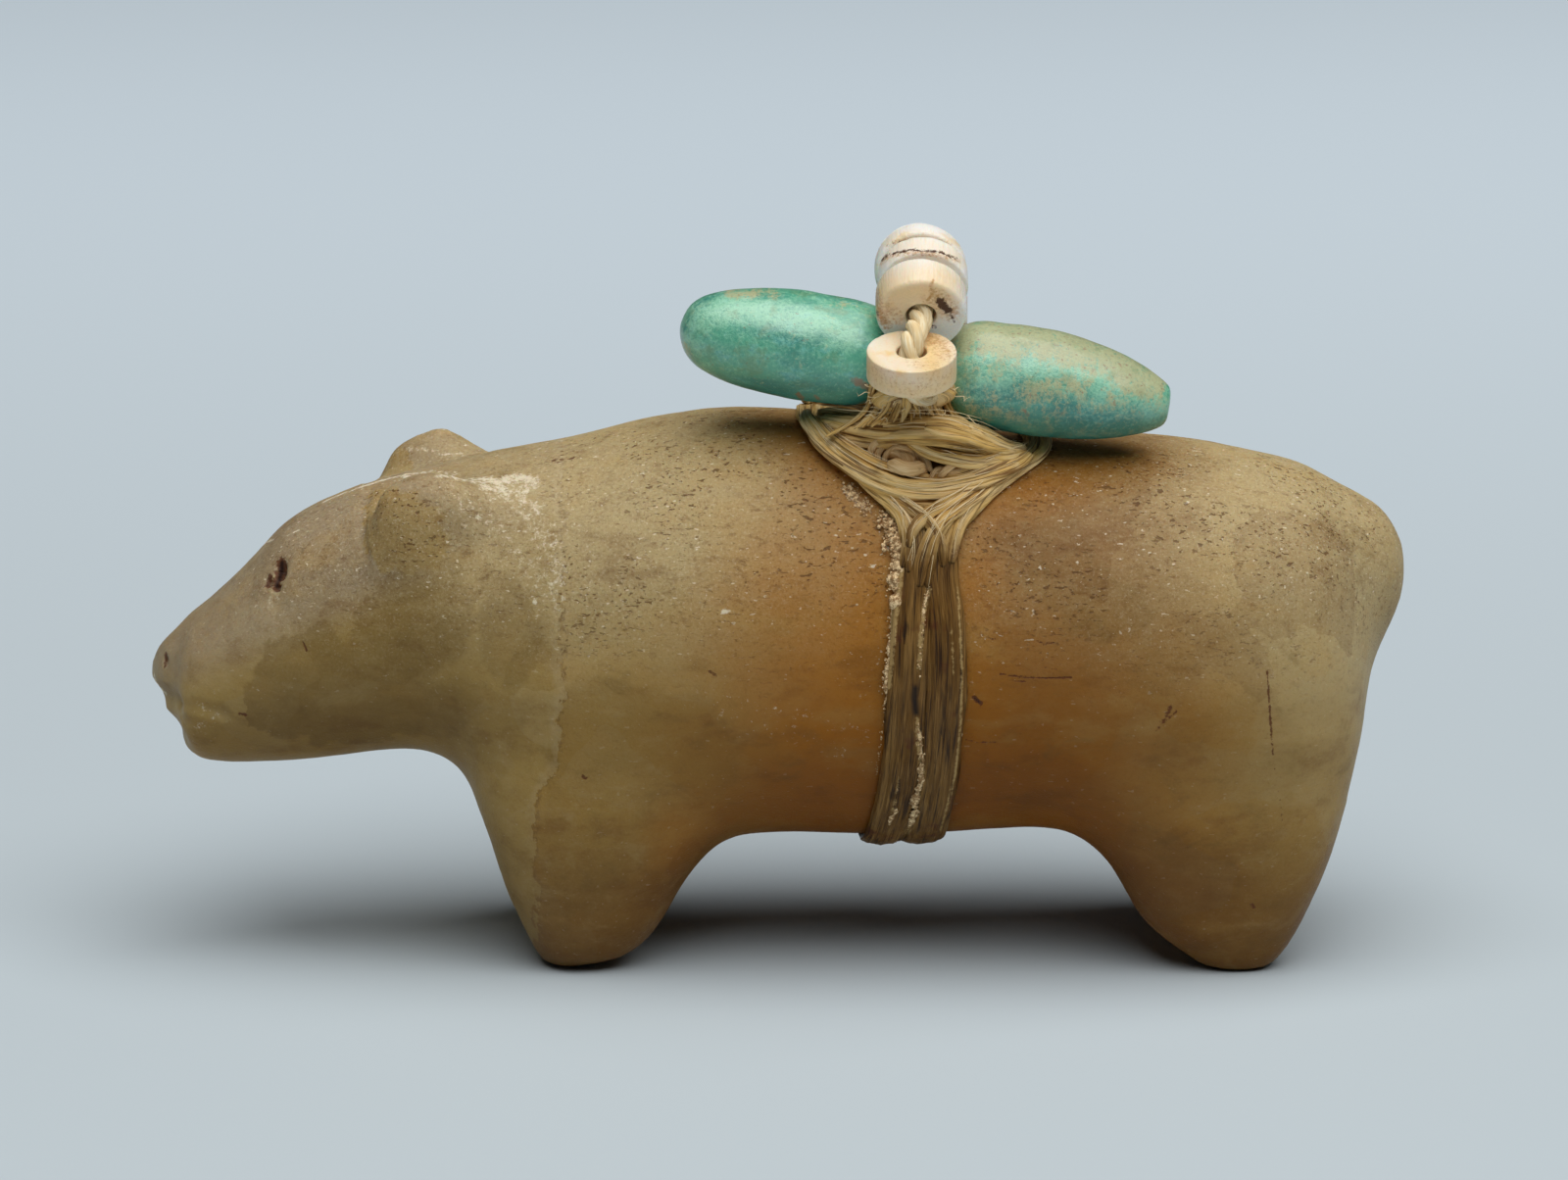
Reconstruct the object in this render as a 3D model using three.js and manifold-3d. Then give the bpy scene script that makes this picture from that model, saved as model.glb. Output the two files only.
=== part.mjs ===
// A small bear carved from one piece of honey-coloured stone, with an offering bundle bound on its back.
// Two turquoise pebbles lie end to end, shell disc beads on a twisted twine arch over them from side to
// side, and flat sinew strands run round the body and part under the pebbles.
// Millimetres, +Z up. The bear faces -X, its left side is -Y, and its paws stand at Z = 0.
import * as THREE from "three";
import { mergeVertices } from "three/addons/utils/BufferGeometryUtils.js";
import Module from "manifold-3d";

const wasm = await Module();
wasm.setup();

// Driving sizes of the stone
const bearLength = 90;
const eyeDiameter = 2.2;
const eyeDepth = 0.9;
const nostrilDiameter = 1.1;
const nostrilDepth = 0.6;
const mouthGrooveWidth = 0.9;
const mouthGrooveDepth = 0.35;

// Driving sizes of the binding
const clearance = 0.35;
const bindingPlace = 10;
const strandWidth = 2.9;
const strandThickness = 1.05;
const pressedThickness = 0.5;
const upperBundleWidth = 2.3;
const upperBundleThickness = 1.3;

// Driving sizes of the turquoise pebbles: tilt is in degrees, down towards the tail, and lift is the
// height of the underside over the pressed strands
const pebbleGap = 4.2;
const pebbleSetForward = 4.9;
const frontPebble = { length: 15.4, height: 7.75, depth: 8.2, tilt: 8.5, lift: 1.75 };
const rearPebble = { length: 15.2, height: 7.9, depth: 8.2, tilt: 10.5, lift: -0.15 };

// Driving sizes of the bead string
const twineDiameter = 1.75;
const boreClearance = 0.4;
const beadDiameter = 6.3;
const hangingBeadThickness = 2.1;
const thickBeadThickness = 2.7;
const thinBeadThickness = 2.0;
const crownRise = 0.9;
const crownSetBack = 2.8;
const tuftWidth = 4.4;
const tuftThickness = 2.2;
const knotLobe = 2.4;

// Finishes
const stoneFinish = { color: 0xb08d55, roughness: 0.5, metalness: 0 };
const turquoiseFinish = { color: 0x4f9c86, roughness: 0.45, metalness: 0 };
const shellFinish = { color: 0xe9e0cf, roughness: 0.5, metalness: 0 };
const twineFinish = { color: 0xb79c74, roughness: 0.85, metalness: 0 };
const sinewFinish = { color: 0x8d7346, roughness: 0.6, metalness: 0 };

// Manifold helpers

// A closed three.js geometry as a solid that can be joined and cut.
function solidOf(geometry) {
  const bare = geometry.clone();
  bare.deleteAttribute("normal");
  bare.deleteAttribute("uv");
  const merged = mergeVertices(bare, 1e-4);
  return new wasm.Manifold(
    new wasm.Mesh({
      numProp: 3,
      vertProperties: merged.attributes.position.array,
      triVerts: new Uint32Array(merged.index.array),
    }),
  );
}

// A solid as a three.js geometry again.
function geometryOf(solid) {
  const mesh = solid.getMesh();
  const geometry = new THREE.BufferGeometry();
  const corners = new Float32Array(mesh.vertProperties);
  geometry.setAttribute("position", new THREE.BufferAttribute(corners, 3));
  geometry.setIndex(new THREE.BufferAttribute(new Uint32Array(mesh.triVerts), 1));
  geometry.computeVertexNormals();
  return geometry;
}

// Several closed geometries joined into one.
function joined(geometries) {
  const solids = geometries.map(solidOf);
  return geometryOf(solids.reduce((whole, next) => whole.add(next)));
}

// A named mesh with its own material.
function piece(name, geometry, finish) {
  const mesh = new THREE.Mesh(geometry, new THREE.MeshStandardMaterial(finish));
  mesh.name = name;
  return mesh;
}

// Smooth values through stations

// Each station is [place, value, value, ...]. The result gives the values at any place between them.
function throughStations(stations) {
  const last = stations.length - 1;
  const slopes = stations.map((station, i) => {
    const before = stations[Math.max(i - 1, 0)];
    const after = stations[Math.min(i + 1, last)];
    return station.map((_, k) => (after[k] - before[k]) / (after[0] - before[0]));
  });
  return (place) => {
    const at = THREE.MathUtils.clamp(place, stations[0][0], stations[last][0]);
    const next = stations.findIndex((station) => station[0] >= at);
    const i = Math.max(next - 1, 0);
    const span = stations[i + 1][0] - stations[i][0];
    const t = (at - stations[i][0]) / span;
    const ease = t * t * (3 - 2 * t);
    const leave = t * (1 - t) * (1 - t) * span;
    const arrive = t * t * (t - 1) * span;
    return stations[i]
      .map((value, k) => {
        const straight = value + (stations[i + 1][k] - value) * ease;
        return straight + slopes[i][k] * leave + slopes[i + 1][k] * arrive;
      })
      .slice(1);
  };
}

// The bear's form

// The carving is written in hundredths of the bear's length: along runs from the nose to the tail.
const hundredth = bearLength / 100;

// Trunk and head: along, top, bottom, half width.
const trunk = throughStations([
  [1.3, 25.8, 16.2, 5.8],
  [4.4, 27.9, 14.9, 7.1],
  [7.6, 31.0, 14.9, 8.3],
  [10.7, 34.3, 15.0, 9.2],
  [13.8, 36.0, 15.3, 9.9],
  [16.9, 37.3, 15.8, 10.4],
  [21.6, 38.3, 16.0, 10.9],
  [27.8, 39.9, 14.0, 12.1],
  [32.4, 40.6, 12.0, 13.4],
  [38.7, 42.2, 10.2, 14.8],
  [44.9, 43.1, 9.6, 15.1],
  [51.0, 42.9, 9.4, 15.1],
  [61.1, 42.2, 9.3, 14.9],
  [70.0, 41.6, 9.9, 15.0],
  [80.6, 40.8, 10.7, 15.1],
  [88.3, 39.6, 12.2, 14.2],
  [96.6, 38.8, 14.4, 12.8],
]);
const trunkStart = 1.3;
const trunkEnd = 96.6;
const noseRounding = 1.6;
const rumpRounding = 7;
const trunkSquareness = 2.15;

// Legs: height, front edge, rear edge, inner side, outer side. They run on below the ground and are cut there.
const frontLeg = throughStations([
  [-2.2, 32.2, 35.8, 4.4, 9.6],
  [0, 30.9, 37.2, 3.7, 10.3],
  [1.0, 30.4, 38.6, 3.3, 10.8],
  [3.0, 29.3, 40.1, 2.6, 11.6],
  [5.9, 28.1, 41.7, 1.4, 12.3],
  [8.4, 27.2, 43.3, 0.3, 12.9],
  [11.1, 26.4, 44.7, -0.6, 13.4],
  [14.0, 25.5, 45.6, -1.0, 13.6],
  [20.0, 25.2, 45.6, -1.0, 13.4],
]);
const hindLeg = throughStations([
  [-2.2, 84.4, 87.8, 4.4, 9.6],
  [0, 82.9, 88.8, 3.7, 10.3],
  [1.0, 81.6, 89.6, 3.3, 10.8],
  [3.4, 78.5, 91.0, 2.5, 11.7],
  [8.1, 75.7, 92.9, 0.6, 12.9],
  [11.8, 73.0, 94.1, -0.6, 13.7],
  [17.8, 70.6, 95.4, -1.0, 14.1],
  [24.4, 70.0, 96.0, -1.0, 14.0],
]);
const legTop = 24.4;
const belowGround = 2.2;
const legSquareness = 2.4;
const frontHeel = { from: 34.5, slope: 0.36 };

// Knobs blended on: centre (along, side, height), then radii.
const noseKnob = { at: [2.7, 0, 22.0], radii: [3.1, 4.0, 3.9], blend: 0.9 };
const ear = { at: [22.9, 8.3, 34.9], radii: [4.9, 3.2, 5.5], blend: 1.6 };
const tail = { at: [93.9, 0, 30.3], radii: [6.1, 5.8, 7.0], blend: 1.6 };
const legBlend = 3.2;
const pairBlend = 2.0;

// Two forms run together over a width: the result is the smaller value, eased.
function blended(a, b, width) {
  const mix = Math.max(width - Math.abs(a - b), 0) / width;
  return Math.min(a, b) - (mix * mix * width) / 4;
}

// How far a point lies outside a rounded cross-section, negative inside.
function outsideSection(across, halfAcross, up, halfUp, squareness) {
  const reach = Math.pow(Math.abs(across) / halfAcross, squareness);
  const rise = Math.pow(Math.abs(up) / halfUp, squareness);
  return (Math.pow(reach + rise, 1 / squareness) - 1) * Math.min(halfAcross, halfUp);
}

// How far a point lies outside an ellipsoid knob, negative inside.
function outsideKnob(knob, along, side, height) {
  const [a, s, h] = knob.at;
  const [ra, rs, rh] = knob.radii;
  const far = Math.hypot((along - a) / ra, (side - s) / rs, (height - h) / rh);
  return (far - 1) * Math.min(ra, rs, rh);
}

// The trunk's size where a round end closes it: a quarter circle of the given length.
function roundEnd(distance, length) {
  const t = THREE.MathUtils.clamp(distance / length, 0.001, 1);
  return Math.sqrt(1 - (1 - t) * (1 - t));
}

function outsideTrunk(along, side, height) {
  const [top, bottom, halfWidth] = trunk(along);
  const close =
    roundEnd(along - trunkStart, noseRounding) * roundEnd(trunkEnd - along, rumpRounding);
  const middle = (top + bottom) / 2;
  const halfHeight = ((top - bottom) / 2) * close;
  const beyond = Math.max(trunkStart - along, along - trunkEnd, 0);
  return (
    outsideSection(side, halfWidth * close, height - middle, halfHeight, trunkSquareness) + beyond
  );
}

function outsideLeg(leg, along, side, height) {
  const [front, rear, inner, outer] = leg(height);
  const across = side - (inner + outer) / 2;
  const forward = along - (front + rear) / 2;
  const halfWidth = (outer - inner) / 2;
  const halfLength = (rear - front) / 2;
  const above = Math.max(height - legTop, 0);
  return outsideSection(forward, halfLength, across, halfWidth, legSquareness) + above;
}

// A pair of legs, left and right, with the notch between them closed softly above.
function outsidePair(leg, along, side, height) {
  const left = outsideLeg(leg, along, side, height);
  const right = outsideLeg(leg, along, -side, height);
  return blended(left, right, pairBlend);
}

// The whole stone in hundredths: negative inside, zero on the skin.
function outsideBear(along, side, height) {
  const heelCut = (frontHeel.from - along) * -frontHeel.slope - height;
  const frontPair = Math.max(outsidePair(frontLeg, along, side, height), heelCut);
  const hindPair = outsidePair(hindLeg, along, side, height);
  let form = outsideTrunk(along, side, height);
  form = blended(form, outsideKnob(noseKnob, along, side, height), noseKnob.blend);
  form = blended(form, outsideKnob(ear, along, Math.abs(side), height), ear.blend);
  form = blended(form, outsideKnob(tail, along, side, height), tail.blend);
  form = blended(form, frontPair, legBlend);
  form = blended(form, hindPair, legBlend);
  return Math.max(form, -belowGround - height);
}

// The same in millimetres, with the bear's middle over the origin.
function outsideStone(x, y, z) {
  const along = x / hundredth + 50;
  return outsideBear(along, y / hundredth, z / hundredth) * hundredth;
}

// The direction out of the stone at a point near its skin.
const probe = 0.02;
function outward(point) {
  const { x, y, z } = point;
  return new THREE.Vector3(
    outsideStone(x + probe, y, z) - outsideStone(x - probe, y, z),
    outsideStone(x, y + probe, z) - outsideStone(x, y - probe, z),
    outsideStone(x, y, z + probe) - outsideStone(x, y, z - probe),
  ).normalize();
}

// The point of the skin on a ray that starts inside the stone, found by halving.
const halvings = 40;
function skinAlong(start, direction) {
  let near = 0;
  let far = bearLength / 2;
  for (let step = 0; step < halvings; step += 1) {
    const middle = (near + far) / 2;
    const p = start.clone().addScaledVector(direction, middle);
    const inside = outsideStone(p.x, p.y, p.z) < 0;
    near = inside ? middle : near;
    far = inside ? far : middle;
  }
  return start.clone().addScaledVector(direction, far);
}

// The point of the skin at x, turned by an angle in degrees from the crest towards the left side (-Y).
function skinPoint(x, angle) {
  const [top, bottom] = trunk(x / hundredth + 50);
  const start = new THREE.Vector3(x, 0, ((top + bottom) / 2) * hundredth);
  const turn = THREE.MathUtils.degToRad(angle);
  return skinAlong(start, new THREE.Vector3(0, -Math.sin(turn), Math.cos(turn)));
}

// A point off the skin by a lift.
function liftedPoint(x, angle, lift) {
  const skin = skinPoint(x, angle);
  return skin.addScaledVector(outward(skin), lift);
}

// The height of the back at a place on it.
function backHeight(x, y) {
  const [top, bottom] = trunk(x / hundredth + 50);
  const start = new THREE.Vector3(x, y, ((top + bottom) / 2) * hundredth);
  return skinAlong(start, new THREE.Vector3(0, 0, 1)).z;
}

// From form to faces

// Grid lines from one end to the other, with a step that may change along the way.
function gridLines(from, to, stepAt) {
  const lines = [from];
  while (lines[lines.length - 1] < to) {
    const here = lines[lines.length - 1];
    lines.push(here + stepAt(here));
  }
  return lines;
}

// A closed surface net over the form: one vertex in each grid cell that the skin crosses, one quad for
// each grid edge that it crosses.
function surfaceNet(form, xs, ys, zs) {
  const [nx, ny, nz] = [xs.length, ys.length, zs.length];
  const at = (i, j, k) => (i * ny + j) * nz + k;
  const values = new Float64Array(nx * ny * nz);
  for (let i = 0; i < nx; i += 1)
    for (let j = 0; j < ny; j += 1)
      for (let k = 0; k < nz; k += 1)
        values[at(i, j, k)] = form(xs[i], ys[j], zs[k]);

  const corner = (i, j, k) => new THREE.Vector3(xs[i], ys[j], zs[k]);
  const cellVertex = new Map();
  const positions = [];
  const crossing = (a, b) => {
    const [va, vb] = [values[at(...a)], values[at(...b)]];
    return va < 0 === vb < 0 ? null : corner(...a).lerp(corner(...b), va / (va - vb));
  };
  for (let i = 0; i < nx - 1; i += 1)
    for (let j = 0; j < ny - 1; j += 1)
      for (let k = 0; k < nz - 1; k += 1) {
        const found = [];
        for (const [u, v] of [[0, 0], [0, 1], [1, 0], [1, 1]]) {
          found.push(crossing([i, j + u, k + v], [i + 1, j + u, k + v]));
          found.push(crossing([i + u, j, k + v], [i + u, j + 1, k + v]));
          found.push(crossing([i + u, j + v, k], [i + u, j + v, k + 1]));
        }
        const points = found.filter(Boolean);
        if (!points.length)
          continue;
        const middle = points.reduce((sum, p) => sum.add(p), new THREE.Vector3());
        cellVertex.set(at(i, j, k), positions.length / 3);
        positions.push(...toSkin(middle.divideScalar(points.length)));
      }

  const index = [];
  const quad = (cells, turned) => {
    const [a, b, c, d] = cells.map((cell) => cellVertex.get(at(...cell)));
    const corners = turned ? [a, d, c, b] : [a, b, c, d];
    index.push(corners[0], corners[1], corners[2], corners[0], corners[2], corners[3]);
  };
  for (let i = 1; i < nx - 1; i += 1)
    for (let j = 1; j < ny - 1; j += 1)
      for (let k = 1; k < nz - 1; k += 1) {
        const inside = values[at(i, j, k)] < 0;
        if (inside !== values[at(i + 1, j, k)] < 0)
          quad([[i, j - 1, k - 1], [i, j, k - 1], [i, j, k], [i, j - 1, k]], !inside);
        if (inside !== values[at(i, j + 1, k)] < 0)
          quad([[i - 1, j, k - 1], [i - 1, j, k], [i, j, k], [i, j, k - 1]], !inside);
        if (inside !== values[at(i, j, k + 1)] < 0)
          quad([[i - 1, j - 1, k], [i, j - 1, k], [i, j, k], [i - 1, j, k]], !inside);
      }
  const geometry = new THREE.BufferGeometry();
  geometry.setAttribute("position", new THREE.Float32BufferAttribute(positions, 3));
  geometry.setIndex(index);
  return geometry;
}

// A point near the skin moved onto it, in a few short moves down the slope of the form.
const skinMoves = 4;
const longestMove = 0.6;
const gentlestSlope = 0.2;
function toSkin(point) {
  for (let step = 0; step < skinMoves; step += 1) {
    const distance = outsideStone(point.x, point.y, point.z);
    const out = outward(point);
    const ahead = point.clone().addScaledVector(out, probe);
    const slope = (outsideStone(ahead.x, ahead.y, ahead.z) - distance) / probe;
    const move = -distance / Math.max(slope, gentlestSlope);
    point.addScaledVector(out, THREE.MathUtils.clamp(move, -longestMove, longestMove));
  }
  return point;
}

// The stone bear

// Steps of the grid that the skin is netted on, as shares of the length too.
const headStep = 1.8 * hundredth;
const bodyStep = 2.75 * hundredth;
const crossStep = 2.4 * hundredth;
const headEnd = -22 * hundredth;

const gridWidth = 15.5 * hundredth;
const gridHeight = 44 * hundredth;

// The carved form before its soles and pits are cut.
function carvedForm() {
  const margin = 2 * bodyStep;
  const half = bearLength / 2 + margin;
  const width = gridWidth + margin;
  const below = belowGround * hundredth + margin;
  const above = gridHeight + margin;
  const alongStep = (x) => (x < headEnd ? headStep : bodyStep);
  return surfaceNet(
    outsideStone,
    gridLines(-half, half, alongStep),
    gridLines(-width, width, () => crossStep),
    gridLines(-below, above, () => crossStep),
  );
}

// A place on the head, given in hundredths, dropped sideways onto the skin: side is 1 or -1.
function cheekPoint(along, height, side) {
  const start = new THREE.Vector3((along - 50) * hundredth, 0, height * hundredth);
  return skinAlong(start, new THREE.Vector3(0, side, 0));
}

// A round pit drilled straight into the skin: a cone of twice its size with its point inside the stone.
const pitSides = 7;
function pitCutter(place, diameter, depth) {
  const cone = new THREE.ConeGeometry(diameter, 2 * depth, pitSides);
  cone.rotateX(Math.PI);
  const up = new THREE.Vector3(0, 1, 0);
  cone.applyQuaternion(new THREE.Quaternion().setFromUnitVectors(up, outward(place)));
  return cone.translate(place.x, place.y, place.z);
}

// The line of the mouth: a shallow round groove from one cheek round the muzzle to the other.
const mouthLine = [
  [5.6, 18.9],
  [3.6, 19.3],
  [1.9, 19.6],
];
const grooveSides = 5;
const grooveSteps = 14;
function mouthCutter() {
  const radius = mouthGrooveWidth / 2;
  const left = mouthLine.map(([along, height]) => cheekPoint(along, height, -1));
  const right = mouthLine.map(([along, height]) => cheekPoint(along, height, 1)).reverse();
  const line = [...left, ...right].map((p) =>
    p.clone().addScaledVector(outward(p), radius - mouthGrooveDepth),
  );
  return roundTube(new THREE.CatmullRomCurve3(line), radius, grooveSides, grooveSteps);
}

// A tube of round section along a curve, closed at both ends.
function roundTube(curve, radius, sides, steps) {
  const corners = Array.from({ length: sides }, (_, i) => {
    const turn = (2 * Math.PI * i) / sides;
    return new THREE.Vector2(radius * Math.cos(turn), radius * Math.sin(turn));
  });
  return new THREE.ExtrudeGeometry(new THREE.Shape(corners), {
    extrudePath: curve,
    steps,
    bevelEnabled: false,
  });
}

const eyePlace = [10.2, 29.4];
const nostrilPlace = [1.7, 22.9];

function bearGeometry() {
  const groundBlock = new THREE.BoxGeometry(2 * bearLength, bearLength, bearLength);
  groundBlock.translate(0, 0, -bearLength / 2);
  let stone = solidOf(carvedForm()).subtract(solidOf(groundBlock));
  for (const side of [-1, 1]) {
    const eye = cheekPoint(...eyePlace, side);
    const nostril = cheekPoint(...nostrilPlace, side);
    stone = stone.subtract(solidOf(pitCutter(eye, eyeDiameter, eyeDepth)));
    stone = stone.subtract(solidOf(pitCutter(nostril, nostrilDiameter, nostrilDepth)));
  }
  return geometryOf(stone.subtract(solidOf(mouthCutter())));
}

// Strands laid on the stone

// The cross-section of a strand: flat below, rounded above, as shares of its half width and thickness.
const strandEdge = 0.3;
const strandFoot = 0.8;
const strandCrown = 4;
const strandProfile = [
  [-strandFoot, 0],
  [strandFoot, 0],
  ...Array.from({ length: strandCrown + 1 }, (_, i) => {
    const turn = (Math.PI * i) / strandCrown;
    return [Math.cos(turn), strandEdge + (1 - strandEdge) * Math.sin(turn)];
  }),
];

// A strand through places on the skin. Each place gives x, angle, lift off the skin, width and thickness.
function strand(places, closed) {
  const feet = places.map(({ x, angle, lift }) => {
    const skin = skinPoint(x, angle);
    const out = outward(skin);
    return { at: skin.addScaledVector(out, lift), out };
  });
  const count = feet.length;
  const neighbour = (i) => (closed ? (i + count) % count : THREE.MathUtils.clamp(i, 0, count - 1));
  const rings = feet.map(({ at, out }, i) => {
    const along = feet[neighbour(i + 1)].at.clone().sub(feet[neighbour(i - 1)].at).normalize();
    const side = new THREE.Vector3().crossVectors(out, along).normalize();
    const up = new THREE.Vector3().crossVectors(along, side);
    const { width, thickness } = places[i];
    return strandProfile.map(([across, rise]) =>
      at
        .clone()
        .addScaledVector(side, (across * width) / 2)
        .addScaledVector(up, rise * thickness),
    );
  });
  return loft(rings, closed);
}

// Rings of equally many points skinned into a closed surface, joined end to end or capped.
function loft(rings, closed) {
  const sides = rings[0].length;
  const positions = rings.flat().flatMap((p) => [p.x, p.y, p.z]);
  const index = [];
  const spans = closed ? rings.length : rings.length - 1;
  for (let i = 0; i < spans; i += 1)
    for (let j = 0; j < sides; j += 1) {
      const here = i * sides + j;
      const beside = i * sides + ((j + 1) % sides);
      const next = ((i + 1) % rings.length) * sides + j;
      const corner = ((i + 1) % rings.length) * sides + ((j + 1) % sides);
      index.push(here, beside, corner, here, corner, next);
    }
  if (!closed)
    for (let j = 1; j < sides - 1; j += 1) {
      const end = (rings.length - 1) * sides;
      index.push(0, j + 1, j, end, end + j, end + j + 1);
    }
  const geometry = new THREE.BufferGeometry();
  geometry.setAttribute("position", new THREE.Float32BufferAttribute(positions, 3));
  geometry.setIndex(index);
  return geometry;
}

// The sinew binding

// The two saddle strands, from the crest over the left flank to the belly: angle, offset from the
// binding's place, share of the full width, share of the full thickness. The right flank mirrors them.
const frontStrand = throughStations([
  [0, -8.0, 0.8, 0.8],
  [8, -7.9, 0.8, 0.8],
  [18, -6.6, 0.85, 0.9],
  [31, -4.0, 0.95, 1.0],
  [40, -1.9, 0.95, 1.0],
  [48, -0.7, 0.8, 0.9],
  [60, -0.9, 0.85, 0.9],
  [79, -1.2, 0.95, 1.0],
  [95, -1.35, 1.0, 1.0],
  [119, -1.7, 1.0, 1.0],
  [150, -2.7, 1.0, 0.9],
  [168, -3.1, 1.0, 0.8],
  [180, -3.1, 1.0, 0.8],
]);
const rearStrand = throughStations([
  [0, 7.6, 0.8, 0.0],
  [22, 7.2, 0.7, 0.0],
  [32, 4.6, 0.85, 0.8],
  [42, 2.3, 0.95, 1.0],
  [50, 1.1, 0.8, 0.9],
  [60, 0.9, 0.85, 0.9],
  [79, 1.25, 0.95, 1.0],
  [95, 1.25, 1.0, 1.0],
  [119, 0.9, 1.0, 1.0],
  [150, 0.1, 1.0, 0.9],
  [168, -0.3, 1.0, 0.8],
  [180, -0.3, 1.0, 0.8],
]);
const strandSteps = 40;

// A strand right round the body: it is pressed flat where a pebble lies on it.
function bodyStrand(route) {
  const places = Array.from({ length: strandSteps }, (_, i) => {
    const turn = (360 * i) / strandSteps;
    const [offset, broad, thick] = route(Math.min(turn, 360 - turn));
    return {
      x: bindingPlace + offset,
      angle: turn,
      lift: clearance,
      width: strandWidth * broad,
      thickness: Math.max(strandThickness * thick, pressedThickness),
    };
  });
  return strand(places, true);
}

// The upper bundle lies across the two saddle strands and over the bead string: share of its run,
// offset from the binding's place, angle, share of the lift over the string, share of the thickness.
const upperRoute = throughStations([
  [0, -8.2, 6, 0.1, 0.35],
  [0.25, -4.6, 15, 0.45, 0.9],
  [0.5, -0.5, 27.5, 1.0, 1.0],
  [0.7, 3.0, 29, 0.8, 1.0],
  [0.88, 5.9, 26, 0.3, 0.7],
  [1, 7.6, 22, 0.1, 0.35],
]);
const upperSteps = 11;

function upperBundle(side) {
  const overString = twineDiameter + 2 * clearance;
  const places = Array.from({ length: upperSteps + 1 }, (_, i) => {
    const [offset, angle, lift, thick] = upperRoute(i / upperSteps);
    return {
      x: bindingPlace + offset,
      angle: side * angle,
      lift: Math.max(lift * overString, clearance),
      width: upperBundleWidth * (0.5 + thick / 2),
      thickness: upperBundleThickness * thick,
    };
  });
  return strand(side > 0 ? places : places.reverse(), false);
}

// A rounded lump of twine held in the binding: radii run along the bear, down the flank and outward.
const lumpSides = 8;
const lumpRings = 5;
function knotLump(x, angle, lift, radii) {
  const out = outward(skinPoint(x, angle));
  const forward = new THREE.Vector3(1, 0, 0).addScaledVector(out, -out.x).normalize();
  const down = new THREE.Vector3().crossVectors(out, forward);
  const lump = new THREE.SphereGeometry(1, lumpSides, lumpRings).scale(...radii);
  lump.applyMatrix4(new THREE.Matrix4().makeBasis(forward, down, out));
  const centre = liftedPoint(x, angle, lift);
  return lump.translate(centre.x, centre.y, centre.z);
}

// The knot: a round loop, a short end beside it towards the tail, and a curl of twine round the loop.
// The curl's points give an offset from the binding's place, an angle from the loop's and a lift.
const knotAngle = 34.5;
const loopPlace = -1.1;
const endPlace = 1.5;
const endRadii = [1.8, 0.65, 0.65];
const endLift = 0.95;
const curlRadius = 0.45;
const curlRoute = [
  [-3.3, 1.5, 0.9],
  [-2.9, -3.5, 1.3],
  [-1.2, -5.5, 1.5],
  [0.6, -2.5, 1.4],
  [0.8, 1.0, 0.9],
];
const curlSides = 5;
const curlSteps = 8;

function knotPieces() {
  const half = knotLobe / 2;
  const curl = curlRoute.map(([offset, turn, lift]) =>
    liftedPoint(bindingPlace + offset, knotAngle + turn, lift),
  );
  return [
    knotLump(bindingPlace + loopPlace, knotAngle, half, [half, half, half]),
    knotLump(bindingPlace + endPlace, knotAngle, endLift, endRadii),
    roundTube(new THREE.CatmullRomCurve3(curl), curlRadius, curlSides, curlSteps),
  ];
}

function bindingGeometry() {
  return joined([
    bodyStrand(frontStrand),
    bodyStrand(rearStrand),
    upperBundle(1),
    upperBundle(-1),
    ...knotPieces(),
  ]);
}

// The turquoise pebbles

// Profiles from the inner end to the outer end: share of the length, share of the half height.
const frontPebbleProfile = throughStations([
  [0, 0.3],
  [0.03, 0.6],
  [0.1, 0.93],
  [0.3, 1.0],
  [0.56, 1.0],
  [0.78, 0.86],
  [0.92, 0.65],
  [0.98, 0.38],
  [1, 0.1],
]);
const rearPebbleProfile = throughStations([
  [0, 0.4],
  [0.03, 0.7],
  [0.08, 0.88],
  [0.26, 1.0],
  [0.53, 0.96],
  [0.8, 0.74],
  [0.96, 0.46],
  [1, 0.32],
]);
const pebbleRings = 10;
const pebbleSides = 16;
const pebbleSeat = pressedThickness + 2 * clearance;

// A pebble turned about its length, flattened to its depth, tilted and set down over the back.
function pebbleGeometry(size, profile, side) {
  const { length, height, depth, tilt, lift } = size;
  const outline = Array.from({ length: pebbleRings + 1 }, (_, i) => {
    const share = 0.5 - 0.5 * Math.cos((Math.PI * i) / pebbleRings);
    return new THREE.Vector2((profile(share)[0] * height) / 2, (share - 0.5) * length);
  });
  outline.unshift(new THREE.Vector2(0, -length / 2));
  outline.push(new THREE.Vector2(0, length / 2));
  const pebble = new THREE.LatheGeometry(outline, pebbleSides);
  pebble.scale(1, 1, depth / height);
  pebble.rotateZ((-side * Math.PI) / 2);
  pebble.rotateX(Math.PI / 2);
  const slope = THREE.MathUtils.degToRad(tilt);
  pebble.rotateY(slope);
  const x = bindingPlace + side * (pebbleGap / 2 + (length / 2) * Math.cos(slope));
  const y = -pebbleSetForward;
  return pebble.translate(x, y, backHeight(x, y) + pebbleSeat + lift + height / 2);
}

function pebbleTop(size, side) {
  const x = bindingPlace + side * (pebbleGap / 2 + size.length / 2);
  return backHeight(x, -pebbleSetForward) + pebbleSeat + size.lift + size.height;
}

// The bead string

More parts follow.
